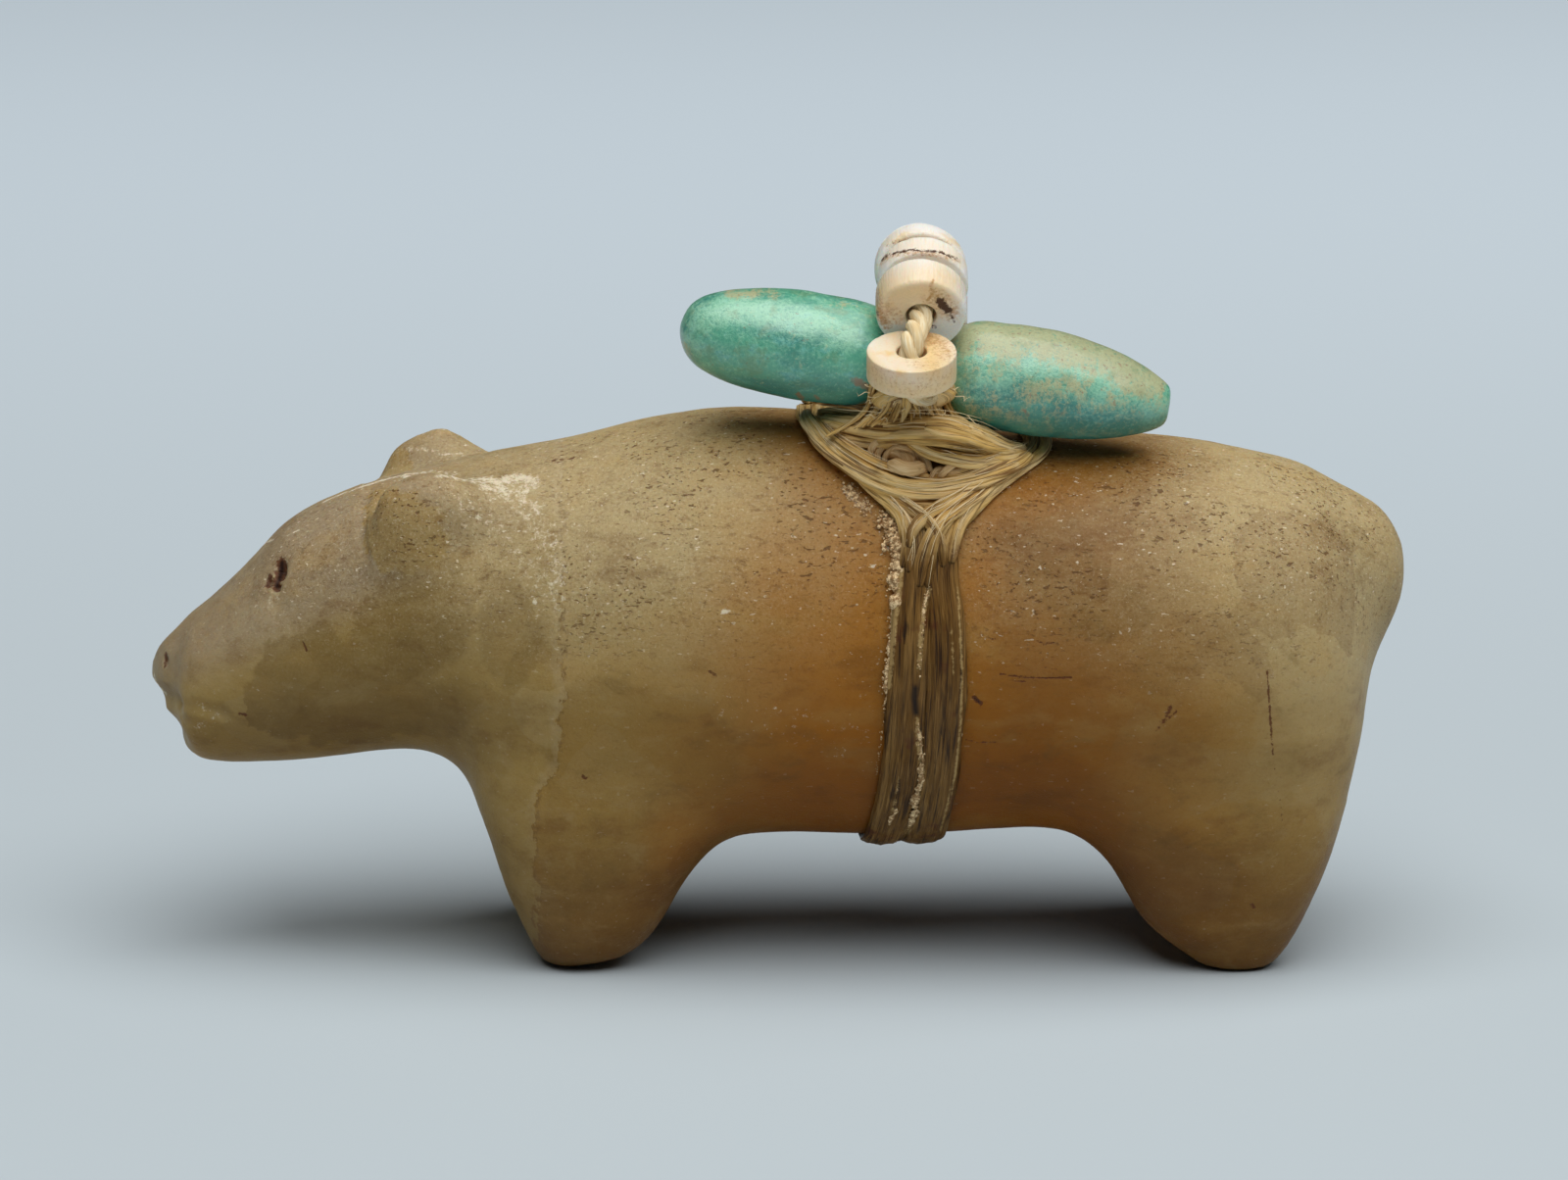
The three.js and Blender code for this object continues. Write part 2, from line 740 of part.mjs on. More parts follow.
// Beads from the one hanging on the left side, over the crown, to the one hanging on the right side.
// Axis is the rise of the hole in degrees, shift the bead's place along the bear. The link to the next
// bead has its own direction and leaves a gap that is a share of the bead's diameter.
const beads = [
  { axis: 107, thickness: hangingBeadThickness, shift: -1.0, direction: 52.4, gap: 0.5 },
  { axis: 30, thickness: thickBeadThickness, shift: -0.5, direction: 19, gap: 0.13 },
  { axis: 26, thickness: thinBeadThickness, shift: -0.3, direction: 6, gap: 0.17 },
  { axis: 10, thickness: thinBeadThickness, shift: -0.4, direction: -10, gap: 0.31 },
  { axis: -24, thickness: thinBeadThickness, shift: -0.5, direction: -48, gap: 0.45 },
  { axis: -105, thickness: hangingBeadThickness, shift: 0 },
];
const crownBead = 3;
const threadLead = 0.35;

// A direction across the bear, in degrees up from level towards its right side (+Y).
function acrossDirection(degrees) {
  const turn = THREE.MathUtils.degToRad(degrees);
  return new THREE.Vector3(0, Math.cos(turn), Math.sin(turn));
}

// The step from one bead's centre to the next one's.
function linkFrom(i) {
  const { thickness, direction, gap } = beads[i];
  const length = (thickness + beads[i + 1].thickness) / 2 + gap * beadDiameter;
  return acrossDirection(direction).multiplyScalar(length);
}

// The beads' centres, worked out both ways from the crown bead over the pebbles.
function beadCentres() {
  const crownY = crownSetBack - pebbleSetForward;
  const crownZ = pebbleTop(frontPebble, -1) + crownRise;
  const centres = [];
  centres[crownBead] = new THREE.Vector3(bindingPlace, crownY, crownZ);
  for (let i = crownBead - 1; i >= 0; i -= 1)
    centres[i] = centres[i + 1].clone().sub(linkFrom(i));
  for (let i = crownBead; i < beads.length - 1; i += 1)
    centres[i + 1] = centres[i].clone().add(linkFrom(i));
  return centres.map((centre, i) => centre.setX(bindingPlace + beads[i].shift));
}

// The string under the near and the far end of the arch, down between the pebbles and under the upper
// bundle: angle from the crest, lift off the skin.
const leftTail = [
  [24, 5.1],
  [18, 2.9],
  [20, 1.6],
  [24.5, 1.2],
];
const rightTail = [
  [-14, 5.0],
  [-16, 2.9],
  [-20, 1.6],
  [-24.5, 1.2],
];

// The whole run of the string from its left end to its right end, through every bead's hole.
function stringCurve() {
  const onSkin = ([angle, lift]) => liftedPoint(bindingPlace, angle, lift);
  const threaded = beadCentres().flatMap((centre, i) => {
    const { axis, thickness } = beads[i];
    const hanging = i === 0 || i === beads.length - 1;
    const half = thickness / 2 + (hanging ? threadLead : 0);
    const lead = acrossDirection(axis).multiplyScalar(half);
    return [centre.clone().sub(lead), centre.clone().add(lead)];
  });
  const points = [...leftTail.map(onSkin).reverse(), ...threaded, ...rightTail.map(onSkin)];
  return new THREE.CatmullRomCurve3(points);
}

// The frayed tuft where the string passes between the pebbles.
const tuftSides = 9;
const tuftRings = 5;
const tuftHeightShare = 0.5;
function stringTuft() {
  const [angle, lift] = leftTail[0];
  const centre = liftedPoint(bindingPlace, angle, lift);
  const tuft = new THREE.SphereGeometry(1, tuftSides, tuftRings);
  tuft.scale(tuftWidth / 2, tuftThickness / 2, (tuftWidth / 2) * tuftHeightShare);
  tuft.rotateX(THREE.MathUtils.degToRad(-angle));
  return tuft.translate(centre.x, centre.y, centre.z);
}

const stringSides = 8;
const stringSteps = 34;

function stringGeometry() {
  const twine = roundTube(stringCurve(), twineDiameter / 2, stringSides, stringSteps);
  return joined([twine, stringTuft()]);
}

// The shell beads

const beadSides = 16;

// A flat ring with its hole along the direction given.
function beadGeometry(centre, direction, thickness) {
  const bore = twineDiameter / 2 + boreClearance;
  const [rim, half] = [beadDiameter / 2, thickness / 2];
  const outline = [
    [bore, -half],
    [rim, -half],
    [rim, half],
    [bore, half],
    [bore, -half],
  ].map(([radius, along]) => new THREE.Vector2(radius, along));
  const ring = new THREE.LatheGeometry(outline, beadSides);
  const turn = new THREE.Quaternion().setFromUnitVectors(new THREE.Vector3(0, 1, 0), direction);
  ring.applyQuaternion(turn);
  return ring.translate(centre.x, centre.y, centre.z);
}

// The whole object

const group = new THREE.Group();
group.add(piece("bear", bearGeometry(), stoneFinish));
group.add(piece("sinew_binding", bindingGeometry(), sinewFinish));
const frontStone = pebbleGeometry(frontPebble, frontPebbleProfile, -1);
const rearStone = pebbleGeometry(rearPebble, rearPebbleProfile, 1);
group.add(piece("turquoise_front", frontStone, turquoiseFinish));
group.add(piece("turquoise_rear", rearStone, turquoiseFinish));
group.add(piece("bead_string", stringGeometry(), twineFinish));
beadCentres().forEach((centre, i) => {
  const bead = beadGeometry(centre, acrossDirection(beads[i].axis), beads[i].thickness);
  group.add(piece(`shell_bead_${i + 1}`, bead, shellFinish));
});

// The middle of the whole box moves over the origin.
const box = new THREE.Box3().setFromObject(group, true);
const middle = box.getCenter(new THREE.Vector3());
group.position.set(-middle.x, -middle.y, -box.min.z);

export default group;
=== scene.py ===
# %% [markdown]
# A small bear carved from honey-coloured stone stands on four paw stubs. An offering bundle is bound on its
# back: two turquoise pebbles, shell disc beads on twine, and a binding of flat dried sinew. This lesson
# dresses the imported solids. Each step says what the real thing is, how it could be made in Blender and why
# this way was chosen.

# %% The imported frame
import math
import random

import bmesh
import bpy
import numpy as np
from mathutils import Matrix, Vector, noise
from mathutils.bvhtree import BVHTree


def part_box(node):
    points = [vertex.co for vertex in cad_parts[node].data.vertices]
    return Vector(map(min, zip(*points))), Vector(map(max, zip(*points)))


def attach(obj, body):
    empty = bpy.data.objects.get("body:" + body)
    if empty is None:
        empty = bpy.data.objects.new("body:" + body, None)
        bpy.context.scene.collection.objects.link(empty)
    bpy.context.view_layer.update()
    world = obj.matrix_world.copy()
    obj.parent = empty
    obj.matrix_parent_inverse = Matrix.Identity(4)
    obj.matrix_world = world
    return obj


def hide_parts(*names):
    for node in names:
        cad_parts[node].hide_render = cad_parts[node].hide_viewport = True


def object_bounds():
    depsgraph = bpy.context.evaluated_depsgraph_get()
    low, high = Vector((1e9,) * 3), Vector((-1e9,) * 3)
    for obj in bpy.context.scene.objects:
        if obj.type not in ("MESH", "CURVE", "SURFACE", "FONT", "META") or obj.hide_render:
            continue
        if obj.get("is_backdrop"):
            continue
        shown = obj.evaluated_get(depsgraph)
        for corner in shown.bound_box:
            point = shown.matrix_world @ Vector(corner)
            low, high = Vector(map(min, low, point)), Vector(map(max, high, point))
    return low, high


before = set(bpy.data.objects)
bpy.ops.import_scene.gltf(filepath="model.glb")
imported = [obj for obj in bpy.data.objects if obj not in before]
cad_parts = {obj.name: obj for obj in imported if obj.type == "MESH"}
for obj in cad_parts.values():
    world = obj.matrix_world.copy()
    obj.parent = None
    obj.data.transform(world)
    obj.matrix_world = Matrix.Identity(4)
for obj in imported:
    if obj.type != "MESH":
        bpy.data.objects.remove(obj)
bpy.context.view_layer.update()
MM = 0.001

# %% [markdown]
# The photograph was taken from the bear's left side, a little from above, with a long lens. The camera is
# made first, because the marks on the stone are placed by looking through it: a place in the photograph
# becomes a ray, and the ray finds the place on the stone.

# %% The camera
IMAGE_WIDTH = 1600
IMAGE_HEIGHT = 1204
PIXELS_PER_MM = 14.3
CAMERA_DISTANCE = 500
CAMERA_RISE = math.radians(13)
AIM = Vector((0.2, 0.0, 25.8))
FOCAL_PIXELS = PIXELS_PER_MM * CAMERA_DISTANCE
SENSOR_WIDTH = 36

back = Vector((0, -math.cos(CAMERA_RISE), math.sin(CAMERA_RISE)))
right = Vector((1, 0, 0))
up = back.cross(right)
eye_place = AIM + back * CAMERA_DISTANCE

camera_data = bpy.data.cameras.new("camera")
camera_data.sensor_width = SENSOR_WIDTH
camera_data.lens = SENSOR_WIDTH * FOCAL_PIXELS / IMAGE_WIDTH
camera_data.clip_start = 0.01
camera = bpy.data.objects.new("camera", camera_data)
camera.location = eye_place * MM
camera.rotation_mode = "QUATERNION"
camera.rotation_quaternion = (-back).to_track_quat("-Z", "Y")
bpy.context.scene.collection.objects.link(camera)
bpy.context.scene.camera = camera
print("lens in millimetres", round(camera_data.lens, 1))


def ray_through(pixel):
    """The direction from the camera through a place in the photograph."""
    across = (pixel[0] - IMAGE_WIDTH / 2) / FOCAL_PIXELS
    rise = (IMAGE_HEIGHT / 2 - pixel[1]) / FOCAL_PIXELS
    return (right * across + up * rise - back).normalized()


def pixels_of(points):
    """Where points in millimetres show in the photograph, one row of x and y for each."""
    away = points - np.array(eye_place)
    depth = away @ -np.array(back)
    across = IMAGE_WIDTH / 2 + FOCAL_PIXELS * (away @ np.array(right)) / depth
    down = IMAGE_HEIGHT / 2 - FOCAL_PIXELS * (away @ np.array(up)) / depth
    return np.stack([across, down], axis=1)


# %% [markdown]
# A finish is a Principled shader with a small tree of nodes in front of it. Written node by node that is
# long and hard to read, so two small classes help: one makes any node from its type, settings and inputs,
# and the other lets a socket take part in ordinary arithmetic.

# %% Arithmetic on sockets
class Value:
    """A shader socket that can be added, multiplied and compared like a number."""

    def __init__(self, finish, socket):
        self.finish = finish
        self.socket = socket

    def __add__(self, other):
        return self.finish.maths("ADD", self, other)

    def __radd__(self, other):
        return self.finish.maths("ADD", other, self)

    def __sub__(self, other):
        return self.finish.maths("SUBTRACT", self, other)

    def __rsub__(self, other):
        return self.finish.maths("SUBTRACT", other, self)

    def __mul__(self, other):
        return self.finish.maths("MULTIPLY", self, other)

    def __rmul__(self, other):
        return self.finish.maths("MULTIPLY", other, self)


# %% One class for a finish
class Finish:
    """A material with a Principled shader, and short calls for the nodes that its patterns need."""

    def __init__(self, name, **constants):
        self.material = bpy.data.materials.new(name)
        self.material.use_nodes = True
        self.tree = self.material.node_tree
        self.shader = self.tree.nodes["Principled BSDF"]
        for socket, value in constants.items():
            self.shader.inputs[socket.replace("_", " ")].default_value = value
        coordinates = self.node("ShaderNodeTexCoord", {}, {}, "Object")
        self.place = self.vector("SCALE", coordinates, Scale=1 / MM)

    def node(self, kind, settings, inputs, output=0):
        """A node of any type: its settings first, then the values or links of its sockets."""
        made = self.tree.nodes.new(kind)
        for name, setting in settings.items():
            setattr(made, name, setting)
        for name, given in inputs.items():
            if isinstance(given, Value):
                self.tree.links.new(given.socket, made.inputs[name])
            else:
                made.inputs[name].default_value = given
        return Value(self, made.outputs[output])

    def maths(self, operation, first, second):
        return self.node("ShaderNodeMath", {"operation": operation}, {0: first, 1: second})

    def vector(self, operation, first, second=None, **named):
        given = {0: first, **named}
        if second is not None:
            given[1] = second
        return self.node("ShaderNodeVectorMath", {"operation": operation}, given)

    def eased(self, value, low, high):
        """0 below low, 1 above high, and a smooth rise between. Low above high turns it round."""
        settings = {"interpolation_type": "SMOOTHSTEP"}
        turned = low > high
        inputs = {"Value": value, "From Min": min(low, high), "From Max": max(low, high)}
        rise = self.node("ShaderNodeMapRange", settings, inputs)
        return 1 - rise if turned else rise

    def noise(self, size, detail=3.0, roughness=0.55, at=None, distortion=0.0):
        """Soft noise whose lumps are about size millimetres across."""
        inputs = {
            "Vector": at or self.place,
            "Scale": 1 / size,
            "Detail": detail,
            "Roughness": roughness,
            "Distortion": distortion,
        }
        return self.node("ShaderNodeTexNoise", {}, inputs)

    def cells(self, size, feature="F1", at=None, output="Distance", randomness=1.0):
        """Cells about size millimetres across: a distance or a colour for each."""
        inputs = {"Vector": at or self.place, "Scale": 1 / size, "Randomness": randomness}
        return self.node("ShaderNodeTexVoronoi", {"feature": feature}, inputs, output)

    def stretched(self, along, across, upward, at=None):
        """The place, squeezed so that a pattern on it is drawn out in proportion."""
        return self.vector("MULTIPLY", at or self.place, (1 / along, 1 / across, 1 / upward))

    def shifted(self, amount, at=None):
        return self.vector("ADD", at or self.place, (amount, amount * 0.7, amount * 1.3))

    def warped(self, size, amount, at=None):
        """The place, pushed about by noise, so that straight patterns wander."""
        start = at or self.place
        inputs = {"Vector": start, "Scale": 1 / size, "Detail": 2.0}
        push = self.node("ShaderNodeTexNoise", {}, inputs, "Color")
        centred = self.vector("SUBTRACT", push, (0.5, 0.5, 0.5))
        return self.vector("ADD", start, self.vector("SCALE", centred, Scale=amount))

    def parts(self, vector):
        """The three parts of a vector as values."""
        return [self.node("ShaderNodeSeparateXYZ", {}, {"Vector": vector}, part) for part in range(3)]

    def painted(self, name, output="Fac"):
        """A value painted on the piece's own points."""
        return self.node("ShaderNodeAttribute", {"attribute_name": name}, {}, output)

    def mixed(self, factor, first, second, kind="MIX"):
        """Two colours mixed: none of the second at 0, all of it at 1."""
        settings = {"data_type": "RGBA", "blend_type": kind, "clamp_factor": True}
        sides = [given if isinstance(given, Value) else (*given, 1.0) for given in (first, second)]
        return self.node("ShaderNodeMix", settings, {0: factor, 6: sides[0], 7: sides[1]}, 2)

    def layered(self, colour, *layers):
        """A colour under layers, each given as how much of it shows and its own colour."""
        for amount, tone in layers:
            colour = self.mixed(amount, colour, tone)
        return colour

    def bump(self, height, depth, before=None):
        """A bump of height 0 to 1 that is depth millimetres deep."""
        inputs = {"Height": height, "Strength": 1.0, "Distance": depth * MM}
        if before is not None:
            inputs["Normal"] = before
        return self.node("ShaderNodeBump", {}, inputs)

    def set(self, socket, value):
        self.tree.links.new(value.socket, self.shader.inputs[socket])


# %% [markdown]
# The stage is a wide pale floor that fills the view, so no edge of it shows. One broad soft light hangs
# above and a little in front, as in a light tent, and a weak sky fills the shadows. Colours are shown as
# they are, without a film look.

# %% The floor, the lights and the sky
FLOOR_COLOUR = (0.545, 0.615, 0.65)
FLOOR_FAR_COLOUR = (0.74, 0.845, 0.92)
FLOOR_PALE_FROM = 420
FLOOR_HALF = 3.0


def object_of(name, bm, *finishes):
    """A new object at the origin from a bmesh, smooth, with its finishes."""
    mesh = bpy.data.meshes.new(name)
    bm.to_mesh(mesh)
    bm.free()
    mesh.polygons.foreach_set("use_smooth", [True] * len(mesh.polygons))
    for finish in finishes:
        mesh.materials.append(finish.material)
    made = bpy.data.objects.new(name, mesh)
    bpy.context.scene.collection.objects.link(made)
    return made


floor_finish = Finish("floor_paper", Roughness=0.75, Specular_IOR_Level=0.25)
_, floor_back, _ = floor_finish.parts(floor_finish.place)
floor_tone = floor_finish.eased(floor_back, 0, FLOOR_PALE_FROM)
floor_finish.set("Base Color", floor_finish.mixed(floor_tone, FLOOR_COLOUR, FLOOR_FAR_COLOUR))

floor_shape = bmesh.new()
bmesh.ops.create_grid(floor_shape, x_segments=1, y_segments=1, size=FLOOR_HALF)
floor = object_of("floor", floor_shape, floor_finish)
floor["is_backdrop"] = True


def soft_light(name, place, size, power):
    """A square area light at a place in millimetres, turned to the bear's middle."""
    data = bpy.data.lights.new(name, "AREA")
    data.shape = "SQUARE"
    data.size = size * MM
    data.energy = power
    light = bpy.data.objects.new(name, data)
    light.location = Vector(place) * MM
    light.rotation_mode = "QUATERNION"
    light.rotation_quaternion = (AIM - Vector(place)).to_track_quat("-Z", "Y")
    bpy.context.scene.collection.objects.link(light)


LIGHT_PLACE = (150, -300, 1100)
LIGHT_SIZE = 1450
LIGHT_POWER = 19.4
SKY_COLOUR = (0.80, 0.90, 1.0, 1.0)
SKY_STRENGTH = 0.03
soft_light("light_above", LIGHT_PLACE, LIGHT_SIZE, LIGHT_POWER)

sky = bpy.data.worlds.new("sky")
sky.use_nodes = True
sky.node_tree.nodes["Background"].inputs["Color"].default_value = SKY_COLOUR
sky.node_tree.nodes["Background"].inputs["Strength"].default_value = SKY_STRENGTH
bpy.context.scene.world = sky
bpy.context.scene.view_settings.view_transform = "Standard"

# %% [markdown]
# The bear is carved from one block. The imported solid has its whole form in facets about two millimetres
# wide. A voxel remesh of a subdivided copy gives even, fine faces, and a few rounds of smoothing melt the
# facets, which leaves the form where it was. The eye, nostril and mouth are then cut again, finer.

# %% A fine mesh of the bear
BEAR_VOXEL = 0.50
BEAR_SMOOTHINGS = 5


def merged_copy(node):
    """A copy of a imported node's mesh with its loose triangles joined."""
    bm = bmesh.new()
    bm.from_mesh(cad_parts[node].data)
    bmesh.ops.remove_doubles(bm, verts=bm.verts, dist=0.001 * MM)
    return bm


def refined(name, bm, voxel, smoothings):
    """An object from a bmesh, subdivided, remeshed in even voxels and smoothed."""
    rough = object_of(name, bm)
    subdivide = rough.modifiers.new("subdivide", "SUBSURF")
    subdivide.levels = 2
    subdivide.render_levels = 2
    remesh = rough.modifiers.new("remesh", "REMESH")
    remesh.mode = "VOXEL"
    remesh.voxel_size = voxel * MM
    smooth = rough.modifiers.new("smooth", "SMOOTH")
    smooth.factor = 0.5
    smooth.iterations = smoothings
    depsgraph = bpy.context.evaluated_depsgraph_get()
    mesh = bpy.data.meshes.new_from_object(rough.evaluated_get(depsgraph))
    rough.modifiers.clear()
    rough.data = mesh
    mesh.name = name
    mesh.polygons.foreach_set("use_smooth", [True] * len(mesh.polygons))
    return rough


bear = refined("stone_bear", merged_copy("bear"), BEAR_VOXEL, BEAR_SMOOTHINGS)
print("bear faces after the remesh", len(bear.data.polygons))

# %% Melting the tail into the rump
RUMP_REACHES = [(31.0, 12.0, 25), (33.0, 18.0, 38)]


def smooth_rump(mesh):
    """The tail stub is worn into the rump, so the crease round it is smoothed away."""
    bm = bmesh.new()
    bm.from_mesh(mesh)
    for start, floor_height, rounds in RUMP_REACHES:
        soft = [vert for vert in bm.verts if vert.co.x > start * MM and vert.co.z > floor_height * MM]
        for _ in range(rounds):
            bmesh.ops.smooth_vert(bm, verts=soft, factor=0.5, use_axis_x=True, use_axis_y=True,
                                  use_axis_z=True)
    bm.to_mesh(mesh)
    bm.free()


smooth_rump(bear.data)

# %% Pieces and their points
def belongs(piece, node):
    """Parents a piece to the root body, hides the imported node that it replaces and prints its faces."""
    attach(piece, "root")
    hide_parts(node)
    print(piece.name, "faces", len(piece.data.polygons))


def points_of(mesh):
    """The points of a mesh in millimetres, one row each."""
    flat = np.empty(len(mesh.vertices) * 3)
    mesh.vertices.foreach_get("co", flat)
    return flat.reshape(-1, 3) / MM


def outs_of(mesh):
    """The directions out of the surface at the points."""
    flat = np.empty(len(mesh.vertices) * 3)
    mesh.vertex_normals.foreach_get("vector", flat)
    return flat.reshape(-1, 3)


def move_points(mesh, points):
    mesh.vertices.foreach_set("co", (points * MM).ravel())
    mesh.update()


def paint(mesh, name, values):
    """Values on the mesh's points that a finish reads by name."""
    attribute = mesh.attributes.new(name, "FLOAT", "POINT")
    attribute.data.foreach_set("value", np.clip(values, 0, 1).astype(np.float32))


def lumps(points, size, seed=0.0):
    """Soft noise from -1 to 1 at the points, with lumps about size millimetres across."""
    shift = Vector((seed, seed * 1.7, -seed))
    return np.array([noise.noise(Vector(point) / size + shift) for point in points])


# %% A finer head
HEAD_END = -26.0


def finer_faces(mesh, indices):
    """Divides some of a mesh's faces once in each direction."""
    bm = bmesh.new()
    bm.from_mesh(mesh)
    bm.faces.ensure_lookup_table()
    edges = list({edge for index in indices for edge in bm.faces[index].edges})
    bmesh.ops.subdivide_edges(bm, edges=edges, cuts=1, use_grid_fill=True)
    bmesh.ops.triangulate(bm, faces=[face for face in bm.faces if len(face.verts) > 4])
    bm.to_mesh(mesh)
    bm.free()
    mesh.polygons.foreach_set("use_smooth", [True] * len(mesh.polygons))


head_faces = [face.index for face in bear.data.polygons if face.center.x / MM < HEAD_END]
finer_faces(bear.data, head_faces)
print("bear points with a finer head", len(bear.data.vertices))

# %% [markdown]
# The marks on the stone were read from the photograph, so each is written as a place in its frame. A mark
# shows on the near side where the ray through it meets the stone, and the carver's own marks, such as the
# eye, are mirrored to the far side.

# %% Places on the stone
def tree_of(piece):
    """A search tree over a piece, to find its surface along a ray."""
    bm = bmesh.new()
    bm.from_mesh(piece.data)
    tree = BVHTree.FromBMesh(bm)
    bm.free()
    return tree


bear_tree = tree_of(bear)


def seen_on_bear(pixel):
    """The place on the bear, in millimetres, under a place in the photograph or just beside its outline."""
    way = ray_through(pixel)
    place = bear_tree.ray_cast(eye_place * MM, way)[0]
    if place is None:
        beside = eye_place + way * (eye_place.y / -way.y)
        place = bear_tree.find_nearest(beside * MM)[0]
    return place / MM


def far_twin(place):
    """The same place on the bear's far side."""
    return Vector((place.x, -place.y, place.z))


def nearness(points, place, radii):
    """1 at a place, falling to 0 at the radii round it, along the bear, across it and upward."""
    away = (points - np.array(place)) / np.array(radii)
    distance = np.sqrt((away ** 2).sum(axis=1))
    return np.clip(1 - distance, 0, 1)


def eased(values):
    return values * values * (3 - 2 * values)


def along_line(points, places, width):
    """1 on a line through places, falling to 0 at half its width."""
    best = np.full(len(points), 1e9)
    for start, end in zip(places[:-1], places[1:]):
        a = np.array(start)
        way = np.array(end) - a
        share = np.clip(((points - a) @ way) / (way @ way), 0, 1)
        away = points - (a + share[:, None] * way)
        best = np.minimum(best, np.sqrt((away ** 2).sum(axis=1)))
    return np.clip(1 - best / (width / 2), 0, 1)


# %% Carving the bear's face
HOLES = [
    # where it is, how deep, its reaches along the bear, across and upward, and how ragged
    ((286, 583), 0.9, (0.62, 1.6, 0.95), 0.6),
    ((282, 597), 0.7, (0.55, 1.2, 0.8), 0.6),
    ((273, 594), 0.35, (0.5, 1.2, 0.6), 0.6),
    ((168, 674), 0.40, (0.4, 0.9, 0.6), 0.0),
]
GROOVES = [
    # the lips, the mouth, the lower lip and the front of the ear, with how deep and how wide
    ([(160, 706), (169, 711), (180, 716)], 0.36, 2.6),
    ([(180, 716), (204, 722), (226, 728)], 0.14, 1.8),
    ([(168, 722), (176, 736), (184, 748)], 0.38, 3.4),
    ([(376, 500), (371, 520), (370, 545), (374, 566)], 0.22, 1.5),
]
EAR_MIDDLE = (-24.4, -8.0, 32.2)
EAR_REACH = (6.5, 6.0, 7.5)
EAR_FORWARD = 1.3
EAR_FLATTER = 0.9
UNDER_EAR = (-23.5, -11.0, 27.0)
UNDER_EAR_REACH = (8.0, 6.0, 5.5)
UNDER_EAR_FILL = 0.5


def carve_face(points, outs):
    """Moves the head's points: ears set forward and flatter, then eye, nostril and mouth cut in."""
    for side in (1, -1):
        middle = np.array(EAR_MIDDLE) * (1, side, 1)
        near = eased(nearness(points, middle, EAR_REACH))
        points[:, 0] -= EAR_FORWARD * near
        points[:, 1] += EAR_FLATTER * near * side
        below = eased(nearness(points, np.array(UNDER_EAR) * (1, side, 1), UNDER_EAR_REACH))
        points[:, 1] -= UNDER_EAR_FILL * below * side
    holes = [(seen_on_bear(pixel), *cut) for pixel, *cut in HOLES]
    grooves = [([seen_on_bear(pixel) for pixel in line], *cut) for line, *cut in GROOVES]
    depth = np.zeros(len(points))
    unevenness = lumps(points, 0.45, 3.0)
    for twin in (Vector, far_twin):
        for place, deep, reaches, ragged in holes:
            cut = nearness(points, twin(place), reaches) * (1 + ragged * unevenness)
            depth += deep * eased(np.clip(cut, 0, 1))
        for places, deep, width in grooves:
            depth += deep * eased(along_line(points, [twin(place) for place in places], width))
    points -= outs * depth[:, None]
    print("deepest cut in the head, mm", round(float(depth.max()), 2))


HAND_WEAR = [(0.07, 7.0, 1.0), (0.03, 2.6, 5.0), (0.012, 0.9, 8.0)]

points = points_of(bear.data)
outs = outs_of(bear.data)
carve_face(points, outs)
hand_worn = sum(height * lumps(points, size, seed) for height, size, seed in HAND_WEAR)
points += outs * hand_worn[:, None]
move_points(bear.data, points)

# %% [markdown]
# Scratches, a crack, frost and dirt are finer than the mesh. Where they run, the faces are divided again,
# and the marks are painted on the points as values from 0 to 1 that the stone's finish reads. Each mark
# is a line of places in the photograph, a width in millimetres and a strength.

